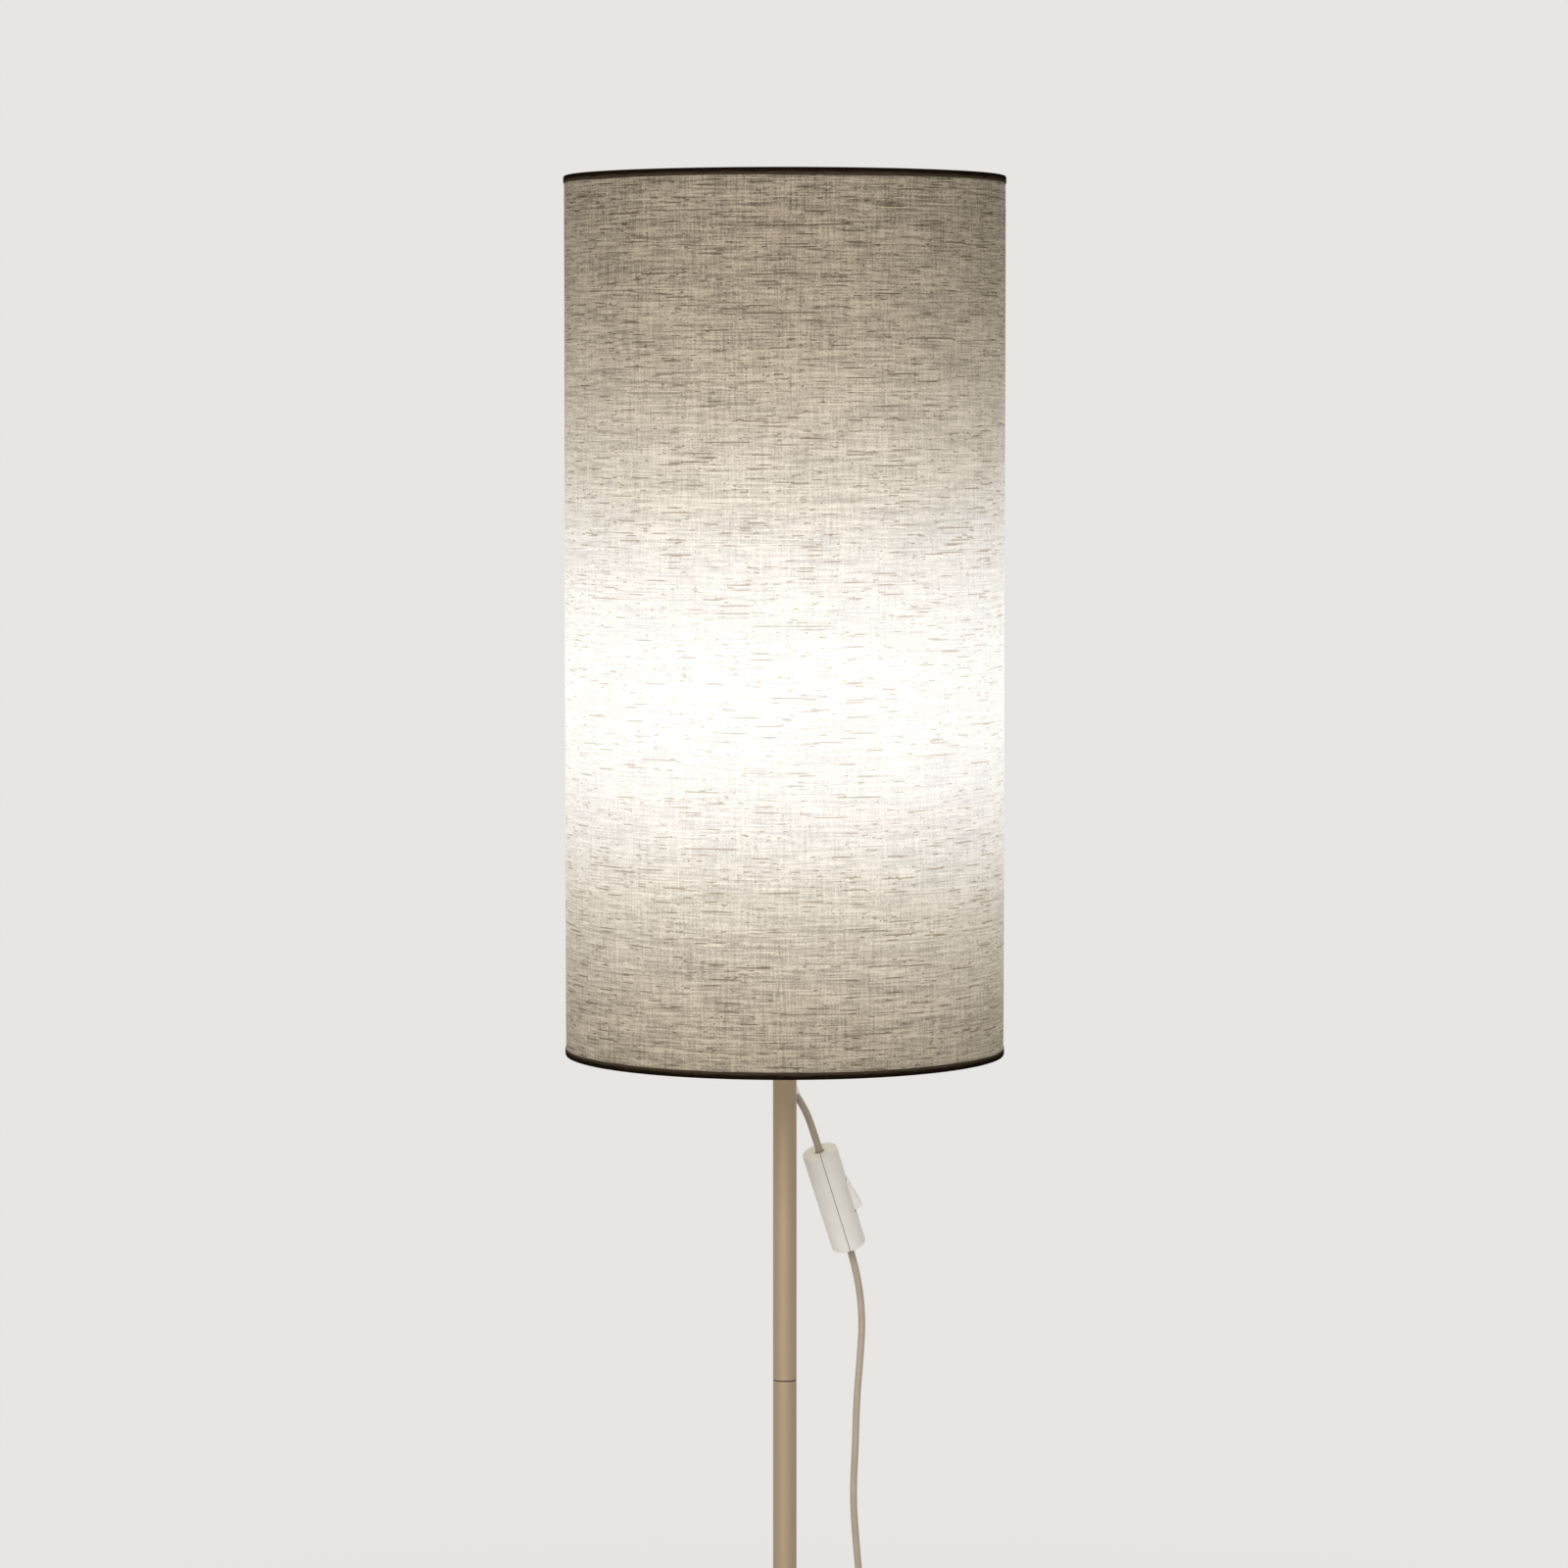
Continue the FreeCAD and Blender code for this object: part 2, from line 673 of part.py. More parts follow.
# The arms run straight from the fitter plate's rim down to the bottom ring.
doc.recompute()
ring_radius = float(bottom_ring.Radius1)
ring_height = bottom_ring.Placement.Base.z
plate_height = fitter.Placement.Base.z + size("fitter_thickness") / 2
plate_rim = size("fitter_diameter") / 2 - 1
drop = Vector(ring_radius - plate_rim, 0, ring_height - plate_height)
arm_rods = []
for i in range(ARM_COUNT):
    turn = Rotation(Vector(0, 0, 1), 90 + 360 * i / ARM_COUNT)
    arm = doc.addObject("Part::Cylinder", f"arm_{i}")
    bind(arm, "Radius", "arm_wire / 2")
    arm.Height = drop.Length
    arm.Placement = Placement(turn.multVec(Vector(plate_rim, 0, plate_height)),
                              turn.multiply(Rotation(Vector(0, 0, 1), drop)))
    arm_rods.append(cut(f"arm_{i}_end", arm, fitter, bottom_ring))
node(group("shade_arms", "Compound", arm_rods))

node(turned("shade_liner", [
    (LINER_IN, "0"),
    (f"{LINER_IN} + liner_thickness", "0"),
    (f"{LINER_IN} + liner_thickness", "shade_height - 2 * hem_thickness - 4 * hem_gap"),
    (LINER_IN, "shade_height - 2 * hem_thickness - 4 * hem_gap"),
], f"{SHADE_FOOT} + hem_thickness + 2 * hem_gap"))

fabric = node(turned("shade_fabric", [
    (FABRIC_IN, "0"),
    (SHADE_R, "0"),
    (SHADE_R, "shade_height - 2 * hem_thickness - 4 * hem_gap"),
    (FABRIC_IN, "shade_height - 2 * hem_thickness - 4 * hem_gap"),
], f"{SHADE_FOOT} + hem_thickness + 2 * hem_gap"))

for label, flip, base in (("shade_bottom_hem", 1, SHADE_FOOT), ("shade_top_hem", -1, SHADE_TOP)):
    node(turned(label, [
        (HEM_IN, "0"),
        (HEM_OUT, "0"),
        (HEM_OUT, f"{flip} * hem_height"),
        (f"{HEM_OUT} - hem_thickness", f"{flip} * hem_height"),
        (f"{HEM_OUT} - hem_thickness", f"{flip} * hem_thickness"),
        (f"{HEM_IN} + hem_thickness", f"{flip} * hem_thickness"),
        (f"{HEM_IN} + hem_thickness", f"{flip} * hem_turn_in"),
        (HEM_IN, f"{flip} * hem_turn_in"),
    ], base))

SEAM_HEIGHT = "(shade_height - 2 * hem_height - 1)"
seam_ring = turned("seam_ring", [
    (f"{SHADE_R} + hem_gap", "0"),
    (f"{SHADE_R} + hem_gap + seam_thickness", "0"),
    (f"{SHADE_R} + hem_gap + seam_thickness", SEAM_HEIGHT),
    (f"{SHADE_R} + hem_gap", SEAM_HEIGHT),
])
seam_strip = block("seam_strip", ("0 - seam_width / 2", "seam_width / 2"), ("0", "shade_diameter"),
                   ("0", SEAM_HEIGHT))
seam = node(group("shade_seam", "MultiCommon", [seam_ring, seam_strip]))
bind(seam, "Placement.Base.z", f"{SHADE_FOOT} + hem_height + 0.5")

# ---- cord bush: a white sleeve that lines the hole in the upper tube ----

node(turned("cord_bush", [
    ("bush_bore / 2", "0 - bush_inside"),
    ("bush_diameter / 2", "0 - bush_inside"),
    ("bush_diameter / 2", "bush_outside - bush_rim"),
    ("bush_diameter / 2 - bush_rim / 3", "bush_outside - bush_rim / 3"),
    ("bush_diameter / 2 - bush_rim", "bush_outside"),
    ("bush_bore / 2 + bush_rim", "bush_outside"),
    ("bush_bore / 2", "bush_outside - bush_rim"),
])).setExpression("Placement.Base.z", None)
doc.getObject("cord_bush").Placement = OUTLET

# ---- switch: its frame has Z along the housing, X towards the rocker, Y along the rocker's pin ----

lean = math.radians(size("switch_tilt"))
switch_down = outward * math.sin(lean) - Vector(0, 0, 1) * math.cos(lean)
switch_up = switch_down * -1
switch_side = Vector(switch_up.z, 0, -switch_up.x).normalize()
switch_centre = outward * size("switch_out") + Vector(0, 0, size("switch_height"))
SWITCH = Placement(switch_centre, Rotation(switch_side, switch_up.cross(switch_side), switch_up, "ZXY"))

HALF = "(switch_length / 2)"
DECK_END = f"({HALF} - switch_end_wall)"
FAR = "switch_length"
ENDS = (("upper", "1"), ("lower", "-1"))


def in_switch(item, pivot=0.0, angle=0.0):
    """Place a piece in the switch, turned about the Y axis through a pivot on X."""
    turn = Placement(Vector(), Rotation(Vector(0, 1, 0), angle), Vector(pivot, 0, 0))
    item.Placement = SWITCH.multiply(turn)
    return node(item)


def housing_cone(label, side_wall, end_wall):
    """The housing's round body with a wall taken off its side and its ends."""
    cone = doc.addObject("Part::Cone", label)
    bind(cone, "Radius1", f"switch_bottom_diameter / 2 - {side_wall}")
    bind(cone, "Radius2", f"switch_top_diameter / 2 - {side_wall}")
    bind(cone, "Height", f"switch_length - 2 * {end_wall}")
    bind(cone, "Placement.Base.z", f"{end_wall} - switch_length / 2")
    return cone


def housing_half(label, kept_side, fillings, drills):
    """One half of the housing: fillings stay solid in its hollow, and drills go through it."""
    outside = rounded(label + "_outside", housing_cone(label + "_round", "0", "0"), "switch_edge",
                      lambda edge: edge.BoundBox.ZLength < 0.1)
    inside = housing_cone(label + "_inside", "switch_wall", "switch_end_wall")
    hollow = cut(label + "_hollow", inside, *fillings)
    cord_way = rod(label + "_cord_way", "cord_hole / 2", f"0 - {HALF} - 1", f"{HALF} + 1")
    space = block(label + "_space", kept_side, (f"0 - {FAR}", FAR), (f"0 - {FAR}", FAR))
    kept = group(label + "_kept", "MultiCommon", [outside, space])
    return cut(label, kept, hollow, cord_way, *drills)


fillings = []
drills = []
for name, sign in ENDS:
    ends = ("deck_start", DECK_END) if sign == "1" else (f"0 - {DECK_END}", "0 - deck_start")
    post = ("0", f"{sign} * post_place")
    fillings.append(block(f"deck_{name}", (f"0 - {FAR}", "0 - deck"),
                          ("0 - deck_width / 2", "deck_width / 2"), ends))
    fillings.append(rod(f"deck_post_{name}", "post_diameter / 2", f"0 - {HALF}", "0 - switch_seam / 2",
                        "x", post))
    drills.append(rod(f"screw_way_{name}", "housing_screw / 2 + screw_gap", f"0 - {FAR}", "0", "x", post))
    drills.append(rod(f"head_way_{name}", "housing_head / 2 + screw_gap", f"0 - {FAR}",
                      "housing_head_depth - switch_bottom_diameter / 2", "x", post))
    drills.append(rod(f"terminal_way_{name}", "switch_screw / 2 + screw_gap", "0 - deck - 3.5", "0", "x",
                      ("0", f"{sign} * (block_start + block_end) / 2")))
    for across in ("1", "-1"):
        mark = name + ("_far" if across == "1" else "_near")
        drills.append(rod(f"clamp_way_{mark}", "switch_screw / 2 + screw_gap", "0 - deck - 5.5", "0", "x",
                          (f"{across} * clamp_screw_pitch / 2", f"{sign} * clamp_place")))
in_switch(housing_half("switch_plain_half", (f"0 - {FAR}", "0 - switch_seam / 2"), fillings, drills))

LUG = "(slot_width / 2 + 0.1)"
fillings = [
    block("pin_lug_far", ("rocker_pivot - 2", HALF), (LUG, f"{LUG} + lug_thickness"),
          ("0 - lug_width / 2", "lug_width / 2")),
    block("pin_lug_near", ("rocker_pivot - 2", HALF), (f"0 - {LUG} - lug_thickness", f"0 - {LUG}"),
          ("0 - lug_width / 2", "lug_width / 2")),
]
drills = [
    block("rocker_slot", ("rocker_pivot - 3", FAR), ("0 - slot_width / 2", "slot_width / 2"),
          ("0 - slot_length / 2", "slot_length / 2")),
    rod("pin_way", "pin_diameter / 2 + pin_gap / 2", "0 - pin_length / 2 - 0.1", "pin_length / 2 + 0.1", "y",
        ("rocker_pivot", "0")),
]
for name, sign in ENDS:
    post = ("0", f"{sign} * post_place")
    fillings.append(rod(f"screw_post_{name}", "post_diameter / 2", "switch_seam / 2", HALF, "x", post))
    drills.append(rod(f"post_way_{name}", "housing_screw / 2 + screw_gap", "0", "housing_screw_reach + 1",
                      "x", post))
in_switch(housing_half("switch_rocker_half", ("switch_seam / 2", FAR), fillings, drills))

pin = rod("pin_rod", "pin_diameter / 2", "0 - pin_length / 2", "pin_length / 2", "y",
          ("rocker_pivot", "0"))
in_switch(group("rocker_pin", "Compound", [pin]))

# The rocker stands tilted with its lower end proud, which is the lamp switched on.
ROCKER_SIDE = "(slot_width / 2 - rocker_side_gap)"
rocker_bar = block("rocker_bar", ("rocker_underside", "rocker_top"), (f"0 - {ROCKER_SIDE}", ROCKER_SIDE),
                   ("0 - rocker_length / 2", "rocker_length / 2"))
rocker_body = group("rocker_body", "MultiFuse", [
    rounded("rocker_soft_bar", rocker_bar, "rocker_edge", lambda edge: True),
    rod("rocker_hub", "rocker_hub / 2", f"0 - {ROCKER_SIDE}", ROCKER_SIDE, "y", ("rocker_pivot", "0")),
    rod("rocker_stem", "stem_diameter / 2", "stem_end", "rocker_pivot", "x"),
])
rocker = cut(
    "rocker", rocker_body,
    rod("rocker_bore", "pin_diameter / 2 + pin_gap", "0 - slot_width", "slot_width", "y",
        ("rocker_pivot", "0")),
    rod("plunger_way", "plunger_diameter / 2 + insert_gap", "0", "plunger_inside", "x"),
)
in_switch(rocker, size("rocker_pivot"), -size("rocker_tilt"))

TIP = "(plunger_diameter / 2)"
plunger_ball = doc.addObject("Part::Sphere", "plunger_ball")
bind(plunger_ball, "Radius", TIP)
bind(plunger_ball, "Placement.Base.x", f"plunger_tip + {TIP}")
plunger = group("rocker_plunger", "MultiFuse", [
    plunger_ball,
    rod("plunger_rod", TIP, f"plunger_tip + {TIP}", "plunger_inside - insert_gap", "x"),
])
in_switch(plunger, size("rocker_pivot"), -size("rocker_tilt"))

SEESAW_FOOT = "(seesaw_pivot + seesaw_radius + seesaw_gap)"
seesaw = block("seesaw_plate", (SEESAW_FOOT, f"{SEESAW_FOOT} + seesaw_thickness"),
               ("0 - seesaw_width / 2", "seesaw_width / 2"), ("0 - seesaw_length / 2", "seesaw_length / 2"))
in_switch(group("seesaw_contact", "Compound", [seesaw]), size("seesaw_pivot"), size("seesaw_tilt"))

# The line terminal carries the see-saw contact's rest, the load terminal the fixed contact.
DECK = "(0 - deck)"
STRIP_TOP = f"({DECK} + strip_thickness)"
BLOCK_TOP = f"({DECK} + block_height)"
STRIP = ("0 - strip_width / 2", "strip_width / 2")
BLOCK = ("0 - block_width / 2", "block_width / 2")
line_body = group("line_terminal_body", "MultiFuse", [
    block("line_block", (DECK, BLOCK_TOP), BLOCK, ("block_start", "block_end")),
    block("line_strip", (DECK, STRIP_TOP), STRIP, ("0 - strip_thickness / 2", "block_start + 1")),
    block("line_rest", (DECK, "seesaw_pivot"), STRIP, ("0 - strip_thickness / 2", "strip_thickness / 2")),
    rod("line_rest_round", "seesaw_radius", "0 - strip_width / 2", "strip_width / 2", "y",
        ("seesaw_pivot", "0")),
])
load_body = group("load_terminal_body", "MultiFuse", [
    block("load_block", (DECK, BLOCK_TOP), BLOCK, ("0 - block_end", "0 - block_start")),
    block("load_strip", (DECK, STRIP_TOP), STRIP, ("0 - block_start - 1", "0 - contact_place + 1")),
    block("load_contact", (DECK, "contact_top"), STRIP, ("0 - contact_place - 1", "0 - contact_place + 1")),
])
for label, body, sign in (("switch_line_terminal", line_body, "1"),
                          ("switch_load_terminal", load_body, "-1")):
    way = rod(label + "_way", "switch_screw / 2 + screw_gap", "0 - deck - 1", "block_height", "x",
              ("0", f"{sign} * (block_start + block_end) / 2"))
    in_switch(cut(label, body, way))


def switch_screw(label, seat, reach, across):
    """A screw along -X with its head on a seat and its shank down to reach."""
    return group(label, "MultiFuse", [
        rod(label + "_head", "switch_screw_head / 2", seat, f"{seat} + switch_screw_head_height",
            "x", across),
        rod(label + "_shank", "switch_screw / 2", reach, f"{seat} + 0.5", "x", across),
    ])


in_switch(group("switch_terminal_screws", "Compound", [
    switch_screw(f"block_screw_{name}", BLOCK_TOP, "0 - deck - 3",
                 ("0", f"{sign} * (block_start + block_end) / 2"))
    for name, sign in ENDS
]))

CLAMP_FOOT = "(cord_diameter / 2 + clamp_gap)"
CLAMP_TOP = f"({CLAMP_FOOT} + clamp_thickness)"
clamps = []
clamp_screws = []
for name, sign in ENDS:
    middle = f"{sign} * clamp_place"
    bar = block(f"clamp_bar_{name}", (CLAMP_FOOT, CLAMP_TOP), ("0 - clamp_length / 2", "clamp_length / 2"),
                (f"{middle} - clamp_width / 2", f"{middle} + clamp_width / 2"))
    ways = []
    for mark, across in (("far", "1"), ("near", "-1")):
        place = (f"{across} * clamp_screw_pitch / 2", middle)
        ways.append(rod(f"clamp_bar_way_{name}_{mark}", "switch_screw / 2 + screw_gap", "0", "deck + 5",
                        "x", place))
        clamp_screws.append(switch_screw(f"clamp_screw_{name}_{mark}", CLAMP_TOP, "0 - deck - 5", place))
    clamps.append(cut(f"clamp_{name}", bar, *ways))
in_switch(group("cord_clamps", "Compound", clamps))
in_switch(group("cord_clamp_screws", "Compound", clamp_screws))

HEAD_SEAT = "(housing_head_depth - switch_bottom_diameter / 2)"
housing_screws = []
for name, sign in ENDS:
    post = ("0", f"{sign} * post_place")
    housing_screws.append(group(f"housing_screw_{name}", "MultiFuse", [
        rod(f"housing_head_{name}", "housing_head / 2", f"{HEAD_SEAT} - 2", HEAD_SEAT, "x", post),
        rod(f"housing_shank_{name}", "housing_screw / 2", f"{HEAD_SEAT} - 0.5", "housing_screw_reach",
            "x", post),
    ]))
in_switch(group("switch_housing_screws", "Compound", housing_screws))

# ---- cord: straight runs joined by tangent arcs, in the upright plane of the cord's azimuth ----


def tube(wire, what):
    """A round cord along a wire, with its volume compared with its section times its length."""
    radius = size("cord_diameter") / 2
    start = wire.Edges[0]
    ring = Part.Circle(start.valueAt(start.FirstParameter), start.tangentAt(start.FirstParameter), radius)
    solid = wire.makePipeShell([Part.Wire([ring.toShape()])], True, False)
    expected = math.pi * radius ** 2 * wire.Length
    print(f"{what}: length {wire.Length:.1f} mm, volume ratio {solid.Volume / expected:.5f}")
    return solid


def route(points, what):
    """The cord's wire along a list of points. Each arc is as large as its two runs allow."""
    edges = []
    radii = []
    here = points[0]
    for before, corner, after in zip(points, points[1:], points[2:]):
        back = (before - corner).normalize()
        ahead = (after - corner).normalize()
        turn = math.pi - back.getAngle(ahead)
        reach = 0.45 * min((before - corner).Length, (after - corner).Length)
        radius = reach / math.tan(turn / 2)
        middle = corner + (back + ahead).normalize() * radius * (1 / math.cos(turn / 2) - 1)
        first = corner + back * reach
        last = corner + ahead * reach
        edges.append(Part.LineSegment(here, first).toShape())
        edges.append(Part.Arc(first, middle, last).toShape())
        radii.append(radius)
        here = last
    edges.append(Part.LineSegment(here, points[-1]).toShape())
    print(f"{what}: arc radii " + ", ".join(f"{radius:.0f}" for radius in radii))
    return Part.Wire(edges)


def in_plane(out, height):
    """A point of the cord from its distance out from the pole's axis and its height."""
    return outward * out + Vector(0, 0, height)


bend_height = size("outlet_height") + size("pole_diameter") / 2 / math.tan(tilt)
bush_mouth = outlet + outlet_way * size("bush_outside")
holder_foot = size("pole_top") + size("top_flange") + size("locknut_height")
inner_points = [in_plane(0, holder_foot + size("cord_top")), in_plane(0, bend_height), bush_mouth]
node(shaped("cord_inside", tube(route(inner_points, "cord inside"), "cord inside")))

grip = size("switch_length") / 2 - size("cord_grip")
beyond = size("switch_length") / 2 + 8
to_switch_points = [
    bush_mouth,
    bush_mouth + outlet_way * 12,
    in_plane(27.9, 846.9),
    switch_centre + switch_up * beyond,
    switch_centre + switch_up * grip,
]
node(shaped("cord_to_switch", tube(route(to_switch_points, "cord to switch"), "cord to switch")))

HANGING = [
    (89.8, 699.0),
    (92.8, 672.0),
    (90.6, 646.0),
    (86.0, 609.0),
    (84.6, 572.0),
    (81.6, 532.0),
    (84.6, 498.0),
    (91.0, 450.0),
    (94.0, 400.0),
    (92.5, 350.0),
    (89.0, 300.0),
    (87.0, 250.0),
    (87.9, 200.0),
    (89.9, 152.0),
    (92.0, 108.0),
    (94.6, 74.0),
    (100.4, 47.0),
    (112.5, 28.0),
    (131.0, 18.8),
    (150.5, 16.5),
    (166.5, 10.3),
]
cord = size("cord_diameter")
lower_layer = size("floor_gap") + cord / 2
upper_layer = lower_layer + size("coil_pitch")
coil_start = in_plane(size("coil_start_out"), upper_layer)
from_switch_points = [
    switch_centre - switch_up * grip,
    switch_centre - switch_up * (size("switch_length") / 2 + 12),
    *[in_plane(out, height) for out, height in HANGING],
    coil_start - outward * cord,
]
node(shaped("cord_from_switch", tube(route(from_switch_points, "cord from switch"), "cord from switch")))

# ---- coil: the upper layer winds inward, steps down in a half turn and winds outward below ----

inner_end = 2 * math.pi * size("coil_inner_turns")
outer_start = inner_end + math.pi
whole_turn = outer_start + 2 * math.pi * size("coil_outer_turns")
inner_radius = size("coil_radius") - size("coil_pitch") * size("coil_inner_turns")
coil_angle = azimuth - math.pi / 2
coil_centre = coil_start - Vector(math.cos(coil_angle), math.sin(coil_angle), 0) * size("coil_radius")
coil_centre.z = 0


def coil_point(turned_by):
    """A point of the coil's centre line after an angle in radians from its start."""
    if turned_by <= inner_end:
        radius = size("coil_radius") - size("coil_pitch") * turned_by / (2 * math.pi)
        height = upper_layer
    elif turned_by < outer_start:
        share = (turned_by - inner_end) / math.pi
        radius = inner_radius - size("coil_dip") * math.sin(math.pi * share)
        height = upper_layer - size("coil_pitch") * (1 - math.cos(math.pi * share)) / 2
    else:
        radius = inner_radius + size("coil_pitch") * (turned_by - outer_start) / (2 * math.pi)
        height = lower_layer
    angle = coil_angle + turned_by
    return coil_centre + Vector(radius * math.cos(angle), radius * math.sin(angle), height)


def coil_way(turned_by):
    """The coil's direction there."""
    step = 0.001
    return (coil_point(turned_by + step) - coil_point(turned_by - step)).normalize()


def arc_from(start, way, end):
    """An arc that leaves start along way and reaches end."""
    chord = end - start
    side = way - chord * (way.dot(chord) / chord.dot(chord))
    if side.Length < 1e-6:
        return Part.LineSegment(start, end).toShape()
    bulge = chord.Length / 2 * math.tan(way.getAngle(chord) / 2)
    return Part.Arc(start, (start + end) * 0.5 + side.normalize() * bulge, end).toShape()


def biarc(start, way, end, end_way):
    """Two tangent arcs from a point and direction to another point and direction."""
    chord = end - start
    total = way + end_way
    bend = 2 * (1 - way.dot(end_way))
    along = chord.dot(total)
    reach = (-along + math.sqrt(along ** 2 + bend * chord.dot(chord))) / bend
    joint = (start + end + (way - end_way) * reach) * 0.5
    joint_way = (joint - (start + way * reach)).normalize()
    return [arc_from(start, way, joint), arc_from(joint, joint_way, end)]


quarter = math.pi / 2
stops = [i * quarter for i in range(int(whole_turn / quarter + 1e-6) + 1)]
if whole_turn - stops[-1] > 0.2:
    stops.append(whole_turn)
ways = [coil_way(stop) for stop in stops]
ways[0] = outward
coil_edges = [Part.LineSegment(coil_point(0) - ways[0] * cord, coil_point(0)).toShape()]
for i in range(len(stops) - 1):
    coil_edges += biarc(coil_point(stops[i]), ways[i], coil_point(stops[i + 1]), ways[i + 1])
coil_end = coil_point(stops[-1])
coil_end_way = ways[-1]
tail_start = coil_end + coil_end_way * cord
coil_edges.append(Part.LineSegment(coil_end, tail_start).toShape())
coil_wire = Part.Wire(coil_edges)
node(shaped("cord_coil", tube(coil_wire, "coil")))

samples = []
for edge in coil_wire.Edges:
    count = max(2, int(edge.Length / 2))
    for i in range(count):
        share = edge.FirstParameter + (edge.LastParameter - edge.FirstParameter) * i / count
        samples.append(edge.valueAt(share))
apart = int(4 * cord / 2)
least = min(
    (samples[i] - samples[k]).Length
    for i in range(len(samples))
    for k in range(i + apart, len(samples))
)
print(f"coil: least gap to itself {least - cord:.2f} mm")

# A strap round the whole bundle keeps the coil together.
TIE_IN = "(coil_radius - coil_pitch * coil_inner_turns - coil_dip - cord_diameter / 2 - tie_gap)"
TIE_OUT = "(coil_radius + cord_diameter / 2 + tie_gap)"
TIE_FOOT = "(floor_gap - tie_gap)"
TIE_TOP = "(floor_gap + coil_pitch + cord_diameter + tie_gap)"
SIDES = ("0 - tie_width / 2", "tie_width / 2")
tie = node(cut(
    "cord_tie",
    block("tie_outside", (f"{TIE_IN} - tie_thickness", f"{TIE_OUT} + tie_thickness"), SIDES,
          (f"{TIE_FOOT} - tie_thickness", f"{TIE_TOP} + tie_thickness")),
    block("tie_inside", (TIE_IN, TIE_OUT), ("0 - tie_width", "tie_width"), (TIE_FOOT, TIE_TOP)),
))
tie.Placement = Placement(coil_centre, Rotation(Vector(0, 0, 1), size("tie_angle")))

# ---- plug, lying flat on the floor; its frame has X from the cord to the pins ----

PLUG = Placement(Vector(size("plug_x"), size("plug_y"), size("plug_height")),
                 Rotation(Vector(0, 0, 1), size("plug_direction")))
plug_start = PLUG.Base
plug_way = PLUG.Rotation.multVec(Vector(1, 0, 0))
tail_points = [
    tail_start,
    tail_start + coil_end_way * 14.5,
    Vector(53.0, 198.7, 4.5),
    plug_start - plug_way * 16,
    plug_start,
]
node(shaped("cord_tail", tube(route(tail_points, "cord tail"), "cord tail")))

boot = [("0", "0"), ("boot_start / 2", "0")]
for i in range(BOOT_RIBS):
    low, high = f"{i + 0.35} * boot_length / {BOOT_RIBS}", f"{i + 0.65} * boot_length / {BOOT_RIBS}"
    wide = f"(boot_start + (boot_end - boot_start) * {i + 1} / {BOOT_RIBS}) / 2"
    boot += [(wide, low), (f"{wide} - 0.6", low), (f"{wide} - 0.6", high), (wide, high)]
boot += [("boot_end / 2", "boot_length"), ("0", "boot_length")]
boot_body = node(turned("plug_boot", boot))
boot_body.setExpression("Placement.Base.z", None)
boot_body.Placement = PLUG.multiply(Placement(Vector(), Rotation(Vector(0, 1, 0), 90)))

plug_body = doc.addObject("PartDesign::Body", "plug_body")
outline = outlined(plug_body, "XY_Plane", [
    ("boot_length", "0 - plug_back / 2"),
    ("boot_length + plug_taper", "0 - plug_width / 2"),
    ("boot_length + plug_length", "0 - plug_width / 2"),
    ("boot_length + plug_length", "plug_width / 2"),
    ("boot_length + plug_taper", "plug_width / 2"),
    ("boot_length", "plug_back / 2"),
])
pad = plug_body.newObject("PartDesign::Pad", "plug_pad")
pad.Profile = outline
pad.Midplane = True
bind(pad, "Length", "plug_thickness")
soften(plug_body, "plug_edge", lambda edge: True)
node(plug_body).Placement = PLUG

pins = []
for side in ("-1", "1"):
    pins.append(rod("plug_pin_" + ("left" if side == "1" else "right"), "plug_pin / 2",
                    "boot_length + plug_length", "boot_length + plug_length + plug_pin_length", "x",
                    (f"{side} * plug_pin_pitch / 2", "0")))
plug_pins = node(group("plug_pins", "Compound", pins))
plug_pins.Placement = PLUG

# ---- test and write ----

doc.recompute()
failed = [item.Name for item in doc.Objects if "Invalid" in item.State or "Error" in item.State]
failed += [item.Name for item in nodes if item.Shape.isNull() or not item.Shape.isValid()]
if failed:
    raise SystemExit("not built: " + ", ".join(failed))

os.makedirs("parts", exist_ok=True)
for item in nodes:
    item.Shape.exportStep(f"parts/{item.Label}.step")
print(f"{len(nodes)} sub-parts written")
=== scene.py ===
import math

import bmesh
import bpy
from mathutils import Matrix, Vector


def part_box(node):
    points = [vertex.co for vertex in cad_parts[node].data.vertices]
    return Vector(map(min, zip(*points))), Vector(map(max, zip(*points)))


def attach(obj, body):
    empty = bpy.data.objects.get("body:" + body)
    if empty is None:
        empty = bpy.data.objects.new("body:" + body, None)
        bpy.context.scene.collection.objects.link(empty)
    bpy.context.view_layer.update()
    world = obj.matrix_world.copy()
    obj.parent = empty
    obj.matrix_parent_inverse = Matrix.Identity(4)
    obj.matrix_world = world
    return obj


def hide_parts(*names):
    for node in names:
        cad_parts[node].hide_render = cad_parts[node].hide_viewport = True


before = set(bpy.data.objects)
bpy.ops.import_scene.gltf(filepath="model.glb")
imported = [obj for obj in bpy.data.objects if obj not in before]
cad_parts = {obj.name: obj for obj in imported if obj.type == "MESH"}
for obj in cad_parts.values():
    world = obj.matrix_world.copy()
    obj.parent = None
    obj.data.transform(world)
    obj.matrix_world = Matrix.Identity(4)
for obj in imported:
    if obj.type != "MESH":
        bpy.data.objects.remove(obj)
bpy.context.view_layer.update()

# Camera: a 128 mm lens on a 36 mm square frame, 4.4 m in front of the pole and level with the shade's
# middle, tipped down a little. It sees the lamp from the shade's top to half a metre above the floor.
camera_data = bpy.data.cameras.new("camera")
camera_data.lens = 127.88
camera_data.sensor_width = 36
camera = bpy.data.objects.new("camera", camera_data)
camera.location = (-0.0006, -4.4397, 1.4169)
camera.rotation_euler = (math.radians(90 - 3.866), 0, 0)
bpy.context.scene.collection.objects.link(camera)
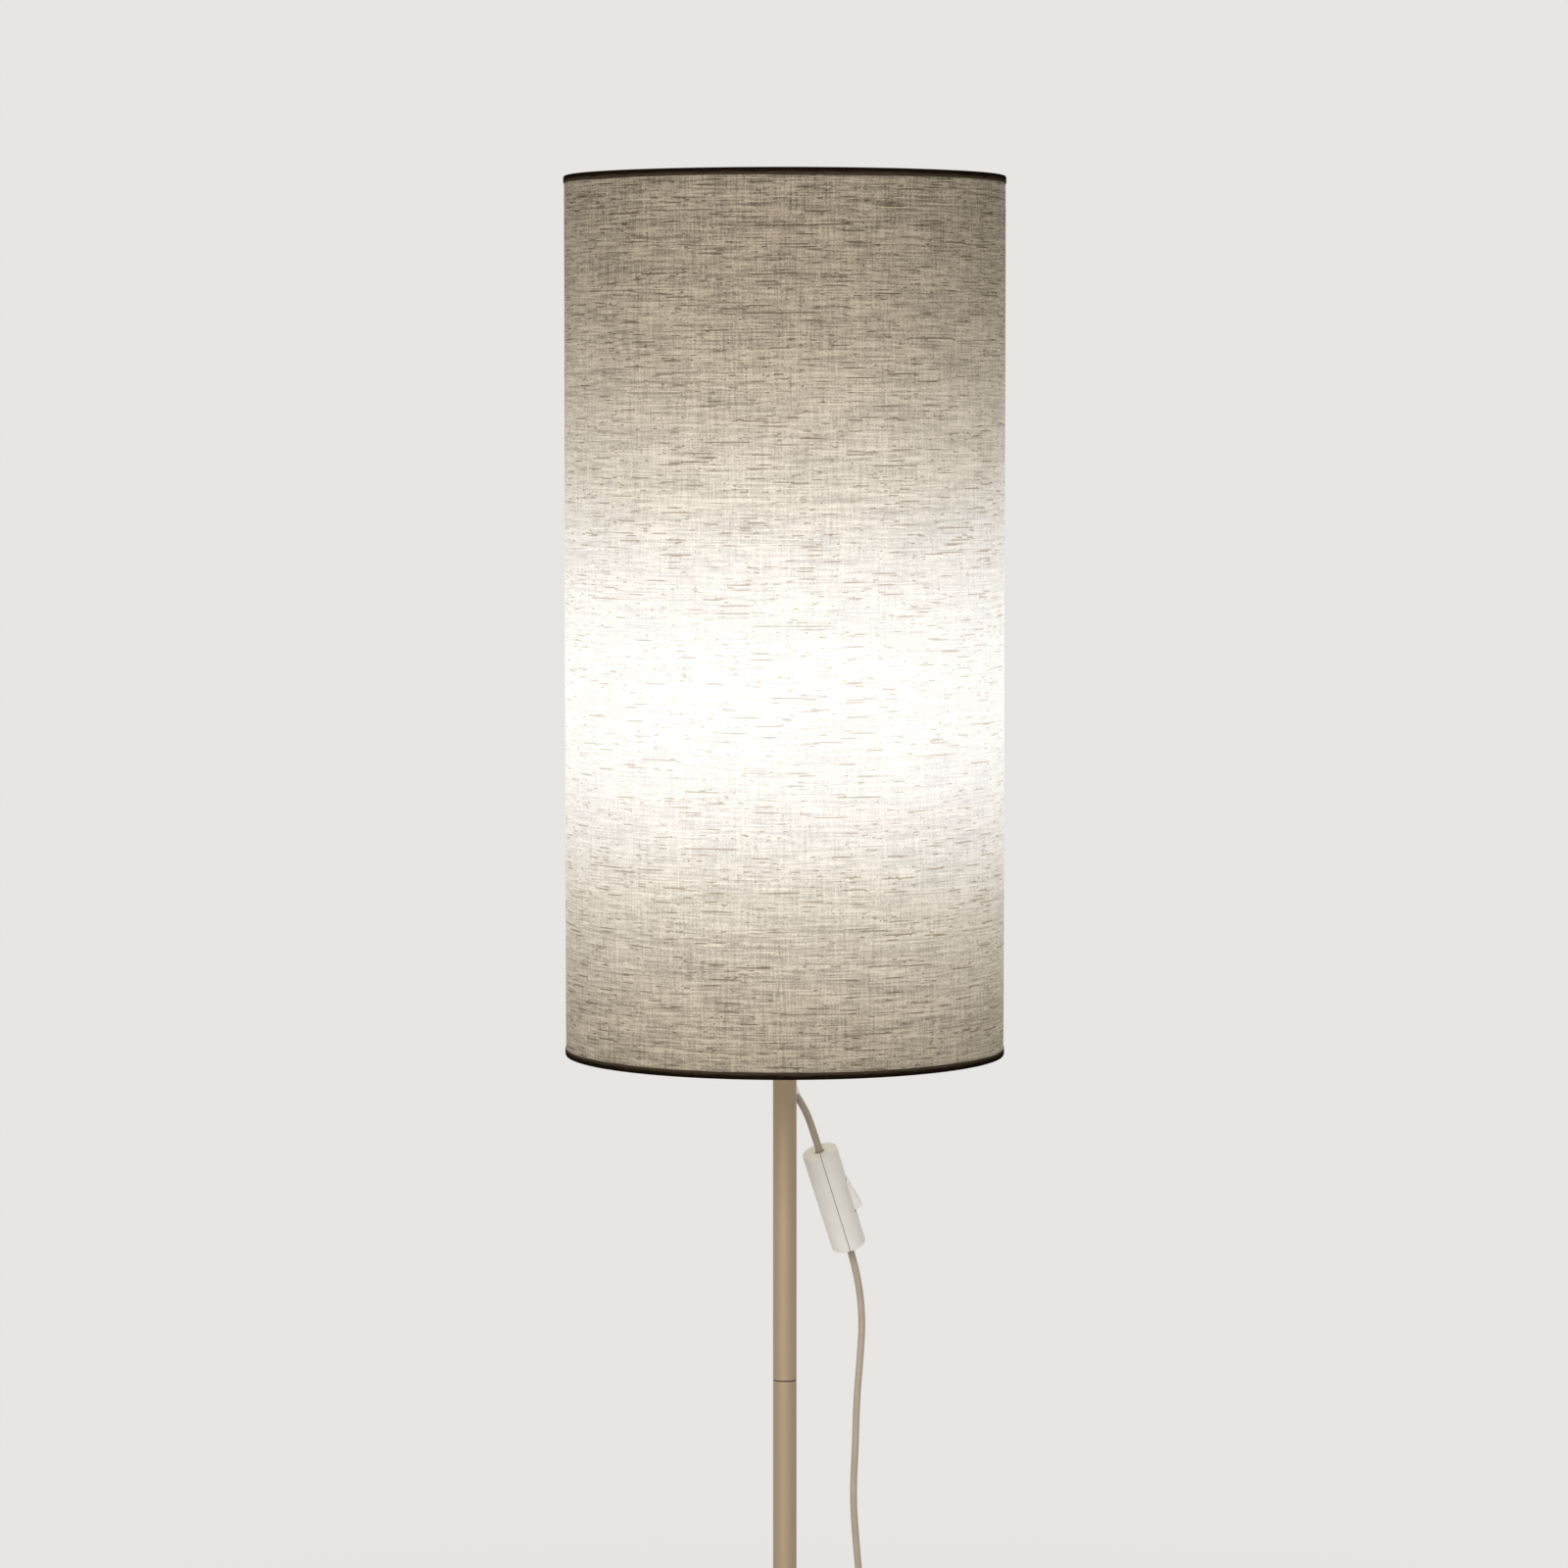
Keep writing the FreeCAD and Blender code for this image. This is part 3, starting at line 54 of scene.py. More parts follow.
bpy.context.scene.camera = camera


# Cord from the bush to the switch: a round two-core lead of 5.8 mm in a smooth grey-beige sheath. It
# leaves the pole slanting down, bends towards the upright and goes into the switch's upper end.
class Value:
    """A shader socket that takes part in sums."""

    def __init__(self, tree, socket):
        self.tree = tree
        self.socket = socket

    def maths(self, operation, *values, clamp=False):
        return add_node(self.tree, "ShaderNodeMath", {"operation": operation, "use_clamp": clamp}, *values)

    def __add__(self, other):
        return self.maths("ADD", self, other)

    def __sub__(self, other):
        return self.maths("SUBTRACT", self, other)

    def __mul__(self, other):
        return self.maths("MULTIPLY", self, other)

    def __truediv__(self, other):
        return self.maths("DIVIDE", self, other)

    def __pow__(self, other):
        return self.maths("POWER", self, other)

    def __radd__(self, other):
        return self.maths("ADD", other, self)

    def __rsub__(self, other):
        return self.maths("SUBTRACT", other, self)

    def __rmul__(self, other):
        return self.maths("MULTIPLY", other, self)

    def __rtruediv__(self, other):
        return self.maths("DIVIDE", other, self)


def add_node(tree, kind, settings, *values, out=0, **named):
    """A shader node with its settings, its sockets by order or by name, and one of its outputs.

    A socket given as None keeps its own value.
    """
    shader_node = tree.nodes.new(kind)
    for name, value in settings.items():
        setattr(shader_node, name, value)
    for place, value in [*enumerate(values), *named.items()]:
        key = place if isinstance(place, int) else place.replace("_", " ")
        if value is None:
            continue
        if isinstance(value, Value):
            tree.links.new(value.socket, shader_node.inputs[key])
        else:
            shader_node.inputs[key].default_value = value
    return Value(tree, shader_node.outputs[out])


class Finish:
    """A material on one Principled shader. Methods give patterns to build its colour and surface from."""

    def __init__(self, name, **fixed):
        self.material = bpy.data.materials.new(name)
        self.material.use_nodes = True
        self.tree = self.material.node_tree
        self.shader = self.tree.nodes["Principled BSDF"]
        for socket, value in fixed.items():
            self.shader.inputs[socket.replace("_", " ")].default_value = value

    def node(self, kind, settings, *values, out=0, **named):
        return add_node(self.tree, kind, settings, *values, out=out, **named)

    def maths(self, operation, *values):
        return self.node("ShaderNodeMath", {"operation": operation}, *values)

    def place(self):
        """The point on the piece, in metres."""
        return self.node("ShaderNodeTexCoord", {}, out="Object")

    def spaced(self, vector, scale):
        """A place scaled by its own amount along each axis, for a pattern that is drawn out one way."""
        return self.node("ShaderNodeMapping", {}, vector, Scale=scale)

    def noise(self, vector, scale, detail=2.0):
        return self.node("ShaderNodeTexNoise", {}, Vector=vector, Scale=scale, Detail=detail)

    def ramp(self, value, low, high, start=0.0, end=1.0, kind="SMOOTHSTEP"):
        """A value from start to end as it goes from low to high."""
        return self.node("ShaderNodeMapRange", {"interpolation_type": kind}, value, low, high, start, end)

    def mix(self, share, first, second, blend="MIX"):
        """The first colour going over to the second by a share. Sockets 1 to 5 are for plain numbers."""
        colours = [value if isinstance(value, Value) else (*value, 1) for value in (first, second)]
        return self.node("ShaderNodeMix", {"data_type": "RGBA", "blend_type": blend},
                         share, *[None] * 5, *colours, out=2)

    def bump(self, height, distance, strength=1.0):
        return self.node("ShaderNodeBump", {}, Strength=strength, Distance=distance, Height=height)

    def wire(self, **links):
        """Lead varying values to the shader's sockets."""
        for socket, value in links.items():
            self.tree.links.new(value.socket, self.shader.inputs[socket.replace("_", " ")])
        return self.material


MM = 0.001
CORD_ACROSS = 5.8 * MM
CORD_AZIMUTH = math.radians(47)
outward = Vector((math.cos(CORD_AZIMUTH), math.sin(CORD_AZIMUTH), 0))
upward = Vector((0, 0, 1))


def in_plane(out, height):
    """A point in the cord's upright plane, from millimetres out from the pole and up."""
    return (outward * out + upward * height) * MM


def smooth_cord(name, points, material):
    """A round cord on a smooth open spline."""
    curve = bpy.data.curves.new(name, "CURVE")
    curve.dimensions = "3D"
    curve.resolution_u = 6
    curve.bevel_depth = CORD_ACROSS / 2
    curve.bevel_resolution = 5
    curve.use_fill_caps = True
    spline = curve.splines.new("NURBS")
    spline.points.add(len(points) - 1)
    for spot, point in zip(spline.points, points):
        spot.co = (*point, 1)
    spline.order_u = 3
    spline.use_endpoint_u = True
    curve.materials.append(material)
    piece = bpy.data.objects.new(name, curve)
    bpy.context.scene.collection.objects.link(piece)
    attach(piece, "lamp")
    return piece


sheath = Finish("cord_sheath", Roughness=0.42, Specular_IOR_Level=0.45)
spot = sheath.place()
dust = sheath.noise(spot, 90, 3)
grain = sheath.noise(spot, 2400, 2)
cord_sheath = sheath.wire(
    Base_Color=sheath.mix(dust, (0.32, 0.268, 0.198), (0.405, 0.345, 0.265)),
    Roughness=sheath.ramp(dust, 0.3, 0.7, 0.36, 0.5),
    Normal=sheath.bump(grain, 0.04 * MM, 0.6),
)

POLE_RADIUS = 9.5
OUTLET_HEIGHT = 870
BUSH_RIM = 2.5
STRAIGHT_RUN = 12
TILT = math.radians(42)
outlet_way = outward * math.sin(TILT) - upward * math.cos(TILT)
bush_mouth = in_plane(POLE_RADIUS, OUTLET_HEIGHT) + outlet_way * BUSH_RIM * MM
LEAN = math.radians(23.78)
switch_down = outward * math.sin(LEAN) - upward * math.cos(LEAN)
switch_up = -switch_down
switch_centre = in_plane(58.9, 777.65)
HALF_SWITCH = 43.65
GRIP = HALF_SWITCH - 12
upper_cord = smooth_cord("cord_to_switch_line", [
    bush_mouth,
    bush_mouth + outlet_way * STRAIGHT_RUN * MM,
    in_plane(27.9, 846.9),
    switch_centre + switch_up * (HALF_SWITCH + 8) * MM,
    switch_centre + switch_up * GRIP * MM,
], cord_sheath)
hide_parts("cord_to_switch")

# Cord from the switch to the plug: the same lead. It hangs beside the pole in slow bends, lies over the
# foot's edge, and its spare metre is wound into a neat two-layer coil on the floor behind the foot.
HANGING = [
    (89.8, 699.0), (92.8, 672.0), (90.6, 646.0), (86.0, 609.0), (84.6, 572.0), (81.6, 532.0),
    (84.6, 498.0), (91.0, 450.0), (94.0, 400.0), (92.5, 350.0), (89.0, 300.0), (87.0, 250.0),
    (87.9, 200.0), (89.9, 152.0), (92.0, 108.0), (94.6, 74.0), (100.4, 47.0), (112.5, 28.0),
    (131.0, 18.8), (150.5, 16.5), (166.5, 10.3),
]
COIL_RADIUS = 41.0
COIL_PITCH = 6.4
COIL_DIP = 1.6
INNER_TURNS = 2.5
OUTER_TURNS = 2.4
LOWER_LAYER = 3.9
COIL_STEPS = 20
coil_start = in_plane(188, LOWER_LAYER + COIL_PITCH)
coil_angle = CORD_AZIMUTH - math.pi / 2
coil_centre = coil_start - Vector((math.cos(coil_angle), math.sin(coil_angle), 0)) * COIL_RADIUS * MM
inner_radius = COIL_RADIUS - COIL_PITCH * INNER_TURNS


def coil_point(turns, widen=1.0):
    """A point of the coil after a number of turns from its start."""
    if turns <= INNER_TURNS:
        radius = COIL_RADIUS - COIL_PITCH * turns
        height = LOWER_LAYER + COIL_PITCH
    elif turns < INNER_TURNS + 0.5:
        share = (turns - INNER_TURNS) * 2
        radius = inner_radius - COIL_DIP * math.sin(math.pi * share)
        height = LOWER_LAYER + COIL_PITCH * (1 + math.cos(math.pi * share)) / 2
    else:
        radius = inner_radius + COIL_PITCH * (turns - INNER_TURNS - 0.5)
        height = LOWER_LAYER
    angle = coil_angle + 2 * math.pi * turns
    side = Vector((math.cos(angle), math.sin(angle), 0))
    return Vector((coil_centre.x, coil_centre.y, 0)) + (side * radius * widen + upward * height) * MM


whole_turns = INNER_TURNS + 0.5 + OUTER_TURNS
step_count = round(whole_turns * COIL_STEPS)
# Control points stand outside a smooth curve's bends by this share.
widen = 2 / (1 + math.cos(math.pi / COIL_STEPS))
winding = [coil_point(whole_turns * (i + 0.5) / step_count, widen) for i in range(step_count)]
coil_end = coil_point(whole_turns)
end_angle = coil_angle + 2 * math.pi * whole_turns
coil_end_way = Vector((-math.sin(end_angle), math.cos(end_angle), 0))
tail_start = coil_end + coil_end_way * CORD_ACROSS
PLUG_TURN = math.radians(189.81)
plug_way = Vector((math.cos(PLUG_TURN), math.sin(PLUG_TURN), 0))
plug_start = Vector((20.0, 193.5, 7.0)) * MM
TO_PLUG = Vector((53.0, 198.7, 4.5)) * MM
lower_cord = smooth_cord("cord_to_plug_line", [
    switch_centre - switch_up * GRIP * MM,
    switch_centre - switch_up * (HALF_SWITCH + STRAIGHT_RUN) * MM,
    *[in_plane(out, height) for out, height in HANGING],
    coil_start - outward * CORD_ACROSS,
    *winding,
    tail_start,
    tail_start + coil_end_way * 14.5 * MM,
    TO_PLUG,
    plug_start - plug_way * 16 * MM,
    plug_start,
], cord_sheath)
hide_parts("cord_from_switch", "cord_coil", "cord_tail")

# Tie: a thin ribbed strap of white plastic, closed round one side of the coil so that its turns stay
# together. It is slid off to let the cord out.


def paint(material, *names):
    """Give CAD nodes a finish in place of their plain one."""
    for name in names:
        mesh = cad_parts[name].data
        mesh.materials.clear()
        mesh.materials.append(material)


strap = Finish("tie_strap", Roughness=0.55)
ribs = strap.node("ShaderNodeTexWave", {"bands_direction": "Z"}, Vector=strap.place(), Scale=240.0)
paint(strap.wire(
    Base_Color=strap.mix(strap.noise(strap.place(), 60), (0.62, 0.61, 0.58), (0.74, 0.73, 0.70)),
    Normal=strap.bump(ribs, 0.05 * MM, 0.5),
), "cord_tie")

# Foot: a 10 mm steel disc in bronze powder coat on five felt pads. The stud of the pole's lowest insert goes
# through it, and a washer and nut in the recess underneath draw the pole down on it.
disc = Finish("bronze_foot", Metallic=0.8)
cast = disc.noise(disc.place(), 1400, 2)
disc_tone = disc.noise(disc.place(), 14, 3)
paint(disc.wire(
    Base_Color=disc.mix(disc_tone, (0.34, 0.26, 0.178), (0.41, 0.315, 0.217)),
    Roughness=disc.ramp(cast, 0.3, 0.7, 0.42, 0.56),
    Normal=disc.bump(cast, 0.05 * MM, 0.6),
), "base_disc")
felt = Finish("foot_felt", Roughness=0.95)
fibres = felt.noise(felt.place(), 1200, 3)
paint(felt.wire(
    Base_Color=felt.mix(fibres, (0.02, 0.02, 0.02), (0.06, 0.058, 0.055)),
    Normal=felt.bump(fibres, 0.3 * MM, 0.8),
), "base_pads")
zinc = Finish("zinc_plate", Metallic=1.0)
zinc_tone = zinc.noise(zinc.place(), 260, 3)
zinc_plate = zinc.wire(
    Base_Color=zinc.mix(zinc_tone, (0.50, 0.50, 0.50), (0.68, 0.68, 0.67)),
    Roughness=zinc.ramp(zinc_tone, 0.3, 0.7, 0.26, 0.44),
)
paint(zinc_plate, "foot_insert", "base_washer", "base_nut")

# Pole: two drawn steel tubes in a satin champagne bronze finish, bevelled where they screw together over a
# stud, and closed by the insert that carries the holder. Faint drawing lines run along them.
satin = Finish("champagne_bronze", Metallic=0.55)
drawn = satin.noise(satin.spaced(satin.place(), (1500, 1500, 12)), 1.0, 2)
breath = satin.noise(satin.place(), 9, 3)
joint_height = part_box("upper_tube")[0][2]
pole_height = satin.node("ShaderNodeSeparateXYZ", {}, satin.place(), out="Z")
# Painted shade: a dark ring is painted in the bevelled groove where the two tubes meet.
joint_groove_shade = satin.ramp(satin.maths("ABSOLUTE", pole_height - joint_height), 0.3 * MM, 0.8 * MM, 0.85, 0.0)
bronze = satin.mix(breath * 0.6 + drawn * 0.4, (0.335, 0.252, 0.168), (0.390, 0.296, 0.200))
paint(satin.wire(
    Base_Color=satin.mix(joint_groove_shade, bronze, (0.045, 0.032, 0.022)),
    Roughness=satin.ramp(drawn * 0.5 + breath * 0.5, 0.3, 0.7, 0.52, 0.62),
    Normal=satin.bump(drawn, 0.02 * MM, 0.5),
), "lower_tube", "upper_tube", "top_insert")
paint(zinc_plate, "joint_stud")
brass = Finish("turned_brass", Metallic=1.0)
brass_tone = brass.noise(brass.place(), 220, 3)
turned_brass = brass.wire(
    Base_Color=brass.mix(brass_tone, (0.62, 0.45, 0.20), (0.76, 0.58, 0.29)),
    Roughness=brass.ramp(brass_tone, 0.3, 0.7, 0.25, 0.42),
)
paint(turned_brass, "lower_joint_insert", "upper_joint_insert")

# Bush: a smooth white plastic sleeve pressed into the slanting hole where the cord leaves the pole, so that
# the tube's edge doesn't cut it. The same cord runs on inside the pole up to the holder.
sleeve = Finish("bush_white", Roughness=0.35)
paint(sleeve.wire(
    Base_Color=sleeve.mix(sleeve.noise(sleeve.place(), 200, 2), (0.80, 0.80, 0.78), (0.88, 0.88, 0.86)),
), "cord_bush")
paint(cord_sheath, "cord_inside")

# Lamp holder: a white moulded cap and skirt on a threaded nipple, with two screwed rings for the shade and
# a ceramic insert with brass contacts.
moulded = Finish("holder_moulding", Roughness=0.4)
holder_moulding = moulded.wire(
    Base_Color=moulded.mix(moulded.noise(moulded.place(), 80, 3), (0.72, 0.71, 0.67), (0.80, 0.79, 0.75)),
    Roughness=moulded.ramp(moulded.noise(moulded.place(), 300, 2), 0.3, 0.7, 0.36, 0.48),
    Normal=moulded.bump(moulded.noise(moulded.place(), 1500, 2), 0.03 * MM, 0.5),
)
paint(holder_moulding, "holder_cap", "holder_skirt", "shade_ring_lower", "shade_ring_upper")
ceramic = Finish("holder_ceramic", Roughness=0.2)
paint(ceramic.wire(
    Base_Color=ceramic.mix(ceramic.noise(ceramic.place(), 150, 3), (0.76, 0.75, 0.71), (0.84, 0.83, 0.80)),
), "holder_insert")
paint(turned_brass, "holder_centre_contact", "holder_shell_contact")
paint(zinc_plate, "holder_locknut", "holder_nipple", "holder_terminal_screws")

# Bulb: an opal glass ball, lit, on a white plastic body with a plated screw cap and a black glass insulator.
# It is screwed into the holder, and its lower part glows less because the body shades it.
GLASS_SHADED = 1.167
GLASS_LIT = 1.190
opal = Finish("opal_glass", Roughness=0.25, Emission_Strength=1.3)
opal_height = opal.node("ShaderNodeSeparateXYZ", {}, opal.place(), out="Z")
paint(opal.wire(
    Base_Color=opal.mix(opal.noise(opal.place(), 40, 2), (0.86, 0.84, 0.80), (0.90, 0.88, 0.84)),
    Emission_Color=opal.mix(opal.ramp(opal_height, GLASS_SHADED, GLASS_LIT), (0.75, 0.69, 0.58),
                            (1.0, 0.96, 0.88)),
), "bulb_glass")
body_white = Finish("bulb_body_plastic", Roughness=0.5)
paint(body_white.wire(
    Base_Color=body_white.mix(body_white.noise(body_white.place(), 120, 3), (0.76, 0.75, 0.73),
                              (0.82, 0.81, 0.79)),
), "bulb_body", "bulb_plate")
vitrite = Finish("bulb_insulator_glass", Roughness=0.15)
paint(vitrite.wire(
    Base_Color=vitrite.mix(vitrite.noise(vitrite.place(), 300, 2), (0.012, 0.012, 0.014),
                           (0.03, 0.03, 0.034)),
), "bulb_insulator")
paint(zinc_plate, "bulb_cap", "bulb_tip")

# Shade frame: two rings and three arms of steel wire, welded to a fitter plate of sheet and powder coated
# white. The retaining rings clamp the plate on the lamp holder.
coat = Finish("white_powder_coat", Roughness=0.45)
paint(coat.wire(
    Base_Color=coat.mix(coat.noise(coat.place(), 70, 3), (0.70, 0.69, 0.66), (0.80, 0.79, 0.76)),
    Normal=coat.bump(coat.noise(coat.place(), 1800, 2), 0.05 * MM, 0.5),
), "shade_bottom_ring", "shade_top_ring", "shade_arms", "shade_fitter_plate")

# Liner: a stiff white film rolled round the frame's rings, which carries the linen. The bulb's light on it
# is painted into its emission as a glow, most at the bulb's height, and more below than above.
GLOW_HEIGHT = 1.190
GLOW_REACH_UP = 0.260
GLOW_REACH_DOWN = 0.244


def glow(finish, height):
    """How much of the bulb's light reaches the shade at a height, 1 beside the bulb, for the glow painted
    into emission.
    """
    above = (height - GLOW_HEIGHT) / GLOW_REACH_UP
    below = (GLOW_HEIGHT - height) / GLOW_REACH_DOWN
    far = finish.maths("MAXIMUM", above, below)
    return 1 / (1 + far * far) ** 2.5


film = Finish("liner_film", Roughness=0.6, Emission_Strength=1.0)
film_height = film.node("ShaderNodeSeparateXYZ", {}, film.place(), out="Z")
DIM_LOW, DIM_HIGH = 0.95, 1.25
dim = film.mix(film.ramp(film_height, DIM_LOW, DIM_HIGH), (0.26, 0.242, 0.205), (0.12, 0.110, 0.092))
paint(film.wire(
    Base_Color=film.mix(film.noise(film.place(), 30, 2), (0.72, 0.70, 0.65), (0.78, 0.76, 0.71)),
    Emission_Color=film.mix(glow(film, film_height), dim, (0.36, 0.34, 0.30)),
), "shade_liner")

# Linen: one width of slubbed greige cloth glued round the liner. The lamp is lit, so the bulb's light
# through the cloth is painted into its emission as a glow, and its thick threads and slubs show as dark
# dashes against it.
SHADE_RADIUS = 0.175
SHADE_LOW, SHADE_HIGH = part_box("shade_fabric")[0][2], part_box("shade_fabric")[1][2]
CLOTH = 0.6 * MM
AROUND = 256
ROWS = 40


def deselect():
    bpy.ops.object.select_all(action="DESELECT")


def pick(piece):
    """Make a piece the one that operators work on."""
    deselect()
    bpy.context.view_layer.objects.active = piece
    piece.select_set(True)


def edit(piece, work):
    """Open a piece in edit mode with all of it selected, do the work and close it."""
    pick(piece)
    bpy.ops.object.mode_set(mode="EDIT")
    bpy.ops.mesh.select_all(action="SELECT")
    work()
    bpy.ops.object.mode_set(mode="OBJECT")


def settle(piece, name, body, material):
    """Name a piece, put its place in its mesh, and give it its finish and its body."""
    pick(piece)
    bpy.ops.object.transform_apply(location=True, rotation=True, scale=True)
    piece.name = name
    piece.data.materials.clear()
    piece.data.materials.append(material)
    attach(piece, body)


def thicken(piece, thickness, side):
    """Give a sheet its thickness. side is -1 inwards and 0 both ways."""
    wall = piece.modifiers.new("wall", "SOLIDIFY")
    wall.thickness = thickness
    wall.offset = side
    pick(piece)
    bpy.ops.object.modifier_apply(modifier="wall")
    piece.data.shade_smooth()


def unrolled(finish):
    """The way round the shade from the front and the height, both in metres, as on the flat cloth."""
    x, y, height = (finish.node("ShaderNodeSeparateXYZ", {}, finish.place(), out=axis) for axis in "XYZ")
    around = finish.maths("ARCTAN2", x, 0 - y) * SHADE_RADIUS
    return finish.node("ShaderNodeCombineXYZ", {}, around, height, 0.0), around, height


linen = Finish("slubbed_linen", Roughness=0.92, Specular_IOR_Level=0.05, Emission_Strength=1.0)
flat_cloth, cloth_around, cloth_height = unrolled(linen)
WEFT_PITCH = 0.95 * MM
WARP_PITCH = 1.05 * MM
# A step between threads that is far enough for their noise to be unlike.
THREAD_APART = 7.31
SEAM_WIDTH = 14 * MM
LAP_EDGE = 0.3 * MM
pick_row = linen.maths("FLOOR", cloth_height / WEFT_PITCH) * THREAD_APART
pick_column = linen.maths("FLOOR", cloth_around / WARP_PITCH) * THREAD_APART


def weft_noise(length, layer, detail=1.0):
    """Noise along each weft thread, changing over a length. Each thread has its own."""
    way = linen.node("ShaderNodeCombineXYZ", {}, cloth_around / length, pick_row + layer, layer)
    return linen.noise(way, 1.0, detail)


thickness = weft_noise(0.020, 0.4, 2.0)
thick_run = weft_noise(0.075, 2.9)
warp_way = linen.node("ShaderNodeCombineXYZ", {}, pick_column, cloth_height / 0.028, 5.2)
warp = linen.noise(warp_way, 1.0, 1.0)
crossing_way = linen.node("ShaderNodeCombineXYZ", {}, cloth_around / 0.0013, pick_row, 8.6)
crossing = linen.noise(crossing_way, 1.0, 0.0)
patches = linen.noise(linen.spaced(flat_cloth, (18, 55, 1)), 1.0, 2.0)
weft_back = linen.maths("ABSOLUTE", linen.maths("SINE", cloth_height * (math.pi / WEFT_PITCH)))
warp_back = linen.maths("ABSOLUTE", linen.maths("SINE", cloth_around * (math.pi / WARP_PITCH)))
backs = linen.maths("MAXIMUM", weft_back, warp_back * 0.8)
tone = ((thickness - 0.5) * 1.0 + (thick_run - 0.5) * 0.6 + (warp - 0.5) * 0.5 + (crossing - 0.5) * 0.5
        + (patches - 0.5) * 0.2)
open_share = linen.ramp(tone, -0.26, 0.26, 0.0, 1.0, "LINEAR")
short_slub = linen.ramp(weft_noise(0.0085, 11.3, 0.5), 0.69, 0.76)
long_slub = linen.ramp(weft_noise(0.036, 14.8, 0.5), 0.675, 0.740)
knot = linen.ramp(weft_noise(0.0030, 19.1, 0.0), 0.78, 0.86)
slub = linen.maths("MAXIMUM", linen.maths("MAXIMUM", short_slub * 0.8, long_slub * 0.85), knot)
cloth_colour = linen.mix(open_share, (0.082, 0.064, 0.044), (0.337, 0.281, 0.207))
cloth_colour = linen.mix(slub, cloth_colour, (0.046, 0.030, 0.015))
# Painted shade: the cloth's colour is darker in the grooves between its threads.
cloth_colour = linen.mix((1 - backs) * 0.5, cloth_colour, (0.035, 0.027, 0.018))
# Painted light: the glow below is the bulb's light through the cloth, put in as emission, its weave contrast
# softened where brightest.
bright = glow(linen, cloth_height)
weave = 1 + (open_share - 0.5) * (0.48 - bright * 0.36)
# The cloth is double at the back seam and lets less light through.
lap_starts = math.pi * SHADE_RADIUS - SEAM_WIDTH / 2
lap = linen.ramp(linen.maths("ABSOLUTE", cloth_around), lap_starts - LAP_EDGE, lap_starts + LAP_EDGE)
through = weave * (1 - slub * (0.60 - bright * 0.20)) * (1 - lap * 0.4) * bright * 1.6
light = through / (1 + through * 0.5)
warmth = linen.mix(linen.ramp(light, 0.0, 0.85), (1.0, 0.86, 0.65), (1.0, 0.99, 0.97))
warmth = linen.mix(slub * (1 - bright * 0.7), warmth, (1.0, 0.80, 0.58))
slubbed_linen = linen.wire(
    Base_Color=cloth_colour,
    Emission_Color=linen.mix(1.0, warmth, linen.node("ShaderNodeCombineXYZ", {}, light, light, light),
                             "MULTIPLY"),
    Normal=linen.bump(thickness * 0.4 + backs * 0.5 + slub * 0.4, 0.3 * MM, 0.6),
)

deselect()
bpy.ops.mesh.primitive_cylinder_add(
    vertices=AROUND, radius=SHADE_RADIUS, depth=SHADE_HIGH - SHADE_LOW, end_fill_type="NOTHING",
    location=(0, 0, (SHADE_LOW + SHADE_HIGH) / 2))
linen_shade = bpy.context.object


def cut_rows():
    bpy.ops.mesh.select_all(action="DESELECT")
    mesh = bmesh.from_edit_mesh(linen_shade.data)
    for edge in mesh.edges:
        edge.select = abs(edge.verts[0].co.z - edge.verts[1].co.z) > 0.1
    bmesh.update_edit_mesh(linen_shade.data)
    bpy.ops.mesh.subdivide(number_cuts=ROWS)


edit(linen_shade, cut_rows)
settle(linen_shade, "linen_shade", "shade", slubbed_linen)
# The glued cloth stands off its liner by a hair in slow waves, and lies flat under the hems.
LIFT = 0.3 * MM
for vertex in linen_shade.data.vertices:
    x, y, z = vertex.co
    turn = math.atan2(y, x)
    flat = min(1.0, (z - SHADE_LOW) / 0.03, (SHADE_HIGH - z) / 0.03)
    wave = 0.5 + 0.28 * math.sin(5 * turn + 9 * z) + 0.22 * math.sin(11 * turn - 17 * z + 1.3)
    swell = 1 + LIFT * wave * flat / SHADE_RADIUS
    vertex.co = (x * swell, y * swell, z)
thicken(linen_shade, CLOTH, -1)
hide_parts("shade_fabric")

# Hems: dark brown woven tape folded over each end of the shade and its wire ring, and glued. Its cut
# edge on the linen is a little uneven.
tape = Finish("hem_tape", Roughness=0.9, Specular_IOR_Level=0.0)
flat_tape, _, tape_height = unrolled(tape)
SHADE_FOOT, SHADE_TOP = 0.9, 1.6
from_edge = tape.maths("MINIMUM", tape_height - SHADE_FOOT, SHADE_TOP - tape_height)
tape_threads = tape.noise(tape.spaced(flat_tape, (500, 1500, 1)), 1.0, 2)
tape_wear = tape.noise(tape.spaced(flat_tape, (70, 500, 1)), 1.0, 3)
brown = tape_threads * 0.5 + tape_wear * 0.5 + tape.ramp(from_edge, 1.5 * MM, 6 * MM, -0.3, 0.25)
hem_tape = tape.wire(
    Base_Color=tape.mix(tape.ramp(brown, 0.2, 0.8), (0.007, 0.0045, 0.003), (0.050, 0.034, 0.021)),
    Normal=tape.bump(tape_threads, 0.12 * MM, 0.8),
)
TAPE = 0.6 * MM
TAPE_AROUND = 384
# The tape's fold, in millimetres from the axis and from the shade's end, from its inner edge outwards.
FOLD = [
    (169.4, 2.6), (169.4, 1.3), (169.8, 0.6), (170.7, 0.3), (174.0, 0.3), (174.9, 0.6), (175.3, 1.3),
    (175.35, 2.4), (175.35, 3.6), (175.35, 4.8), (175.30, 5.8),
]


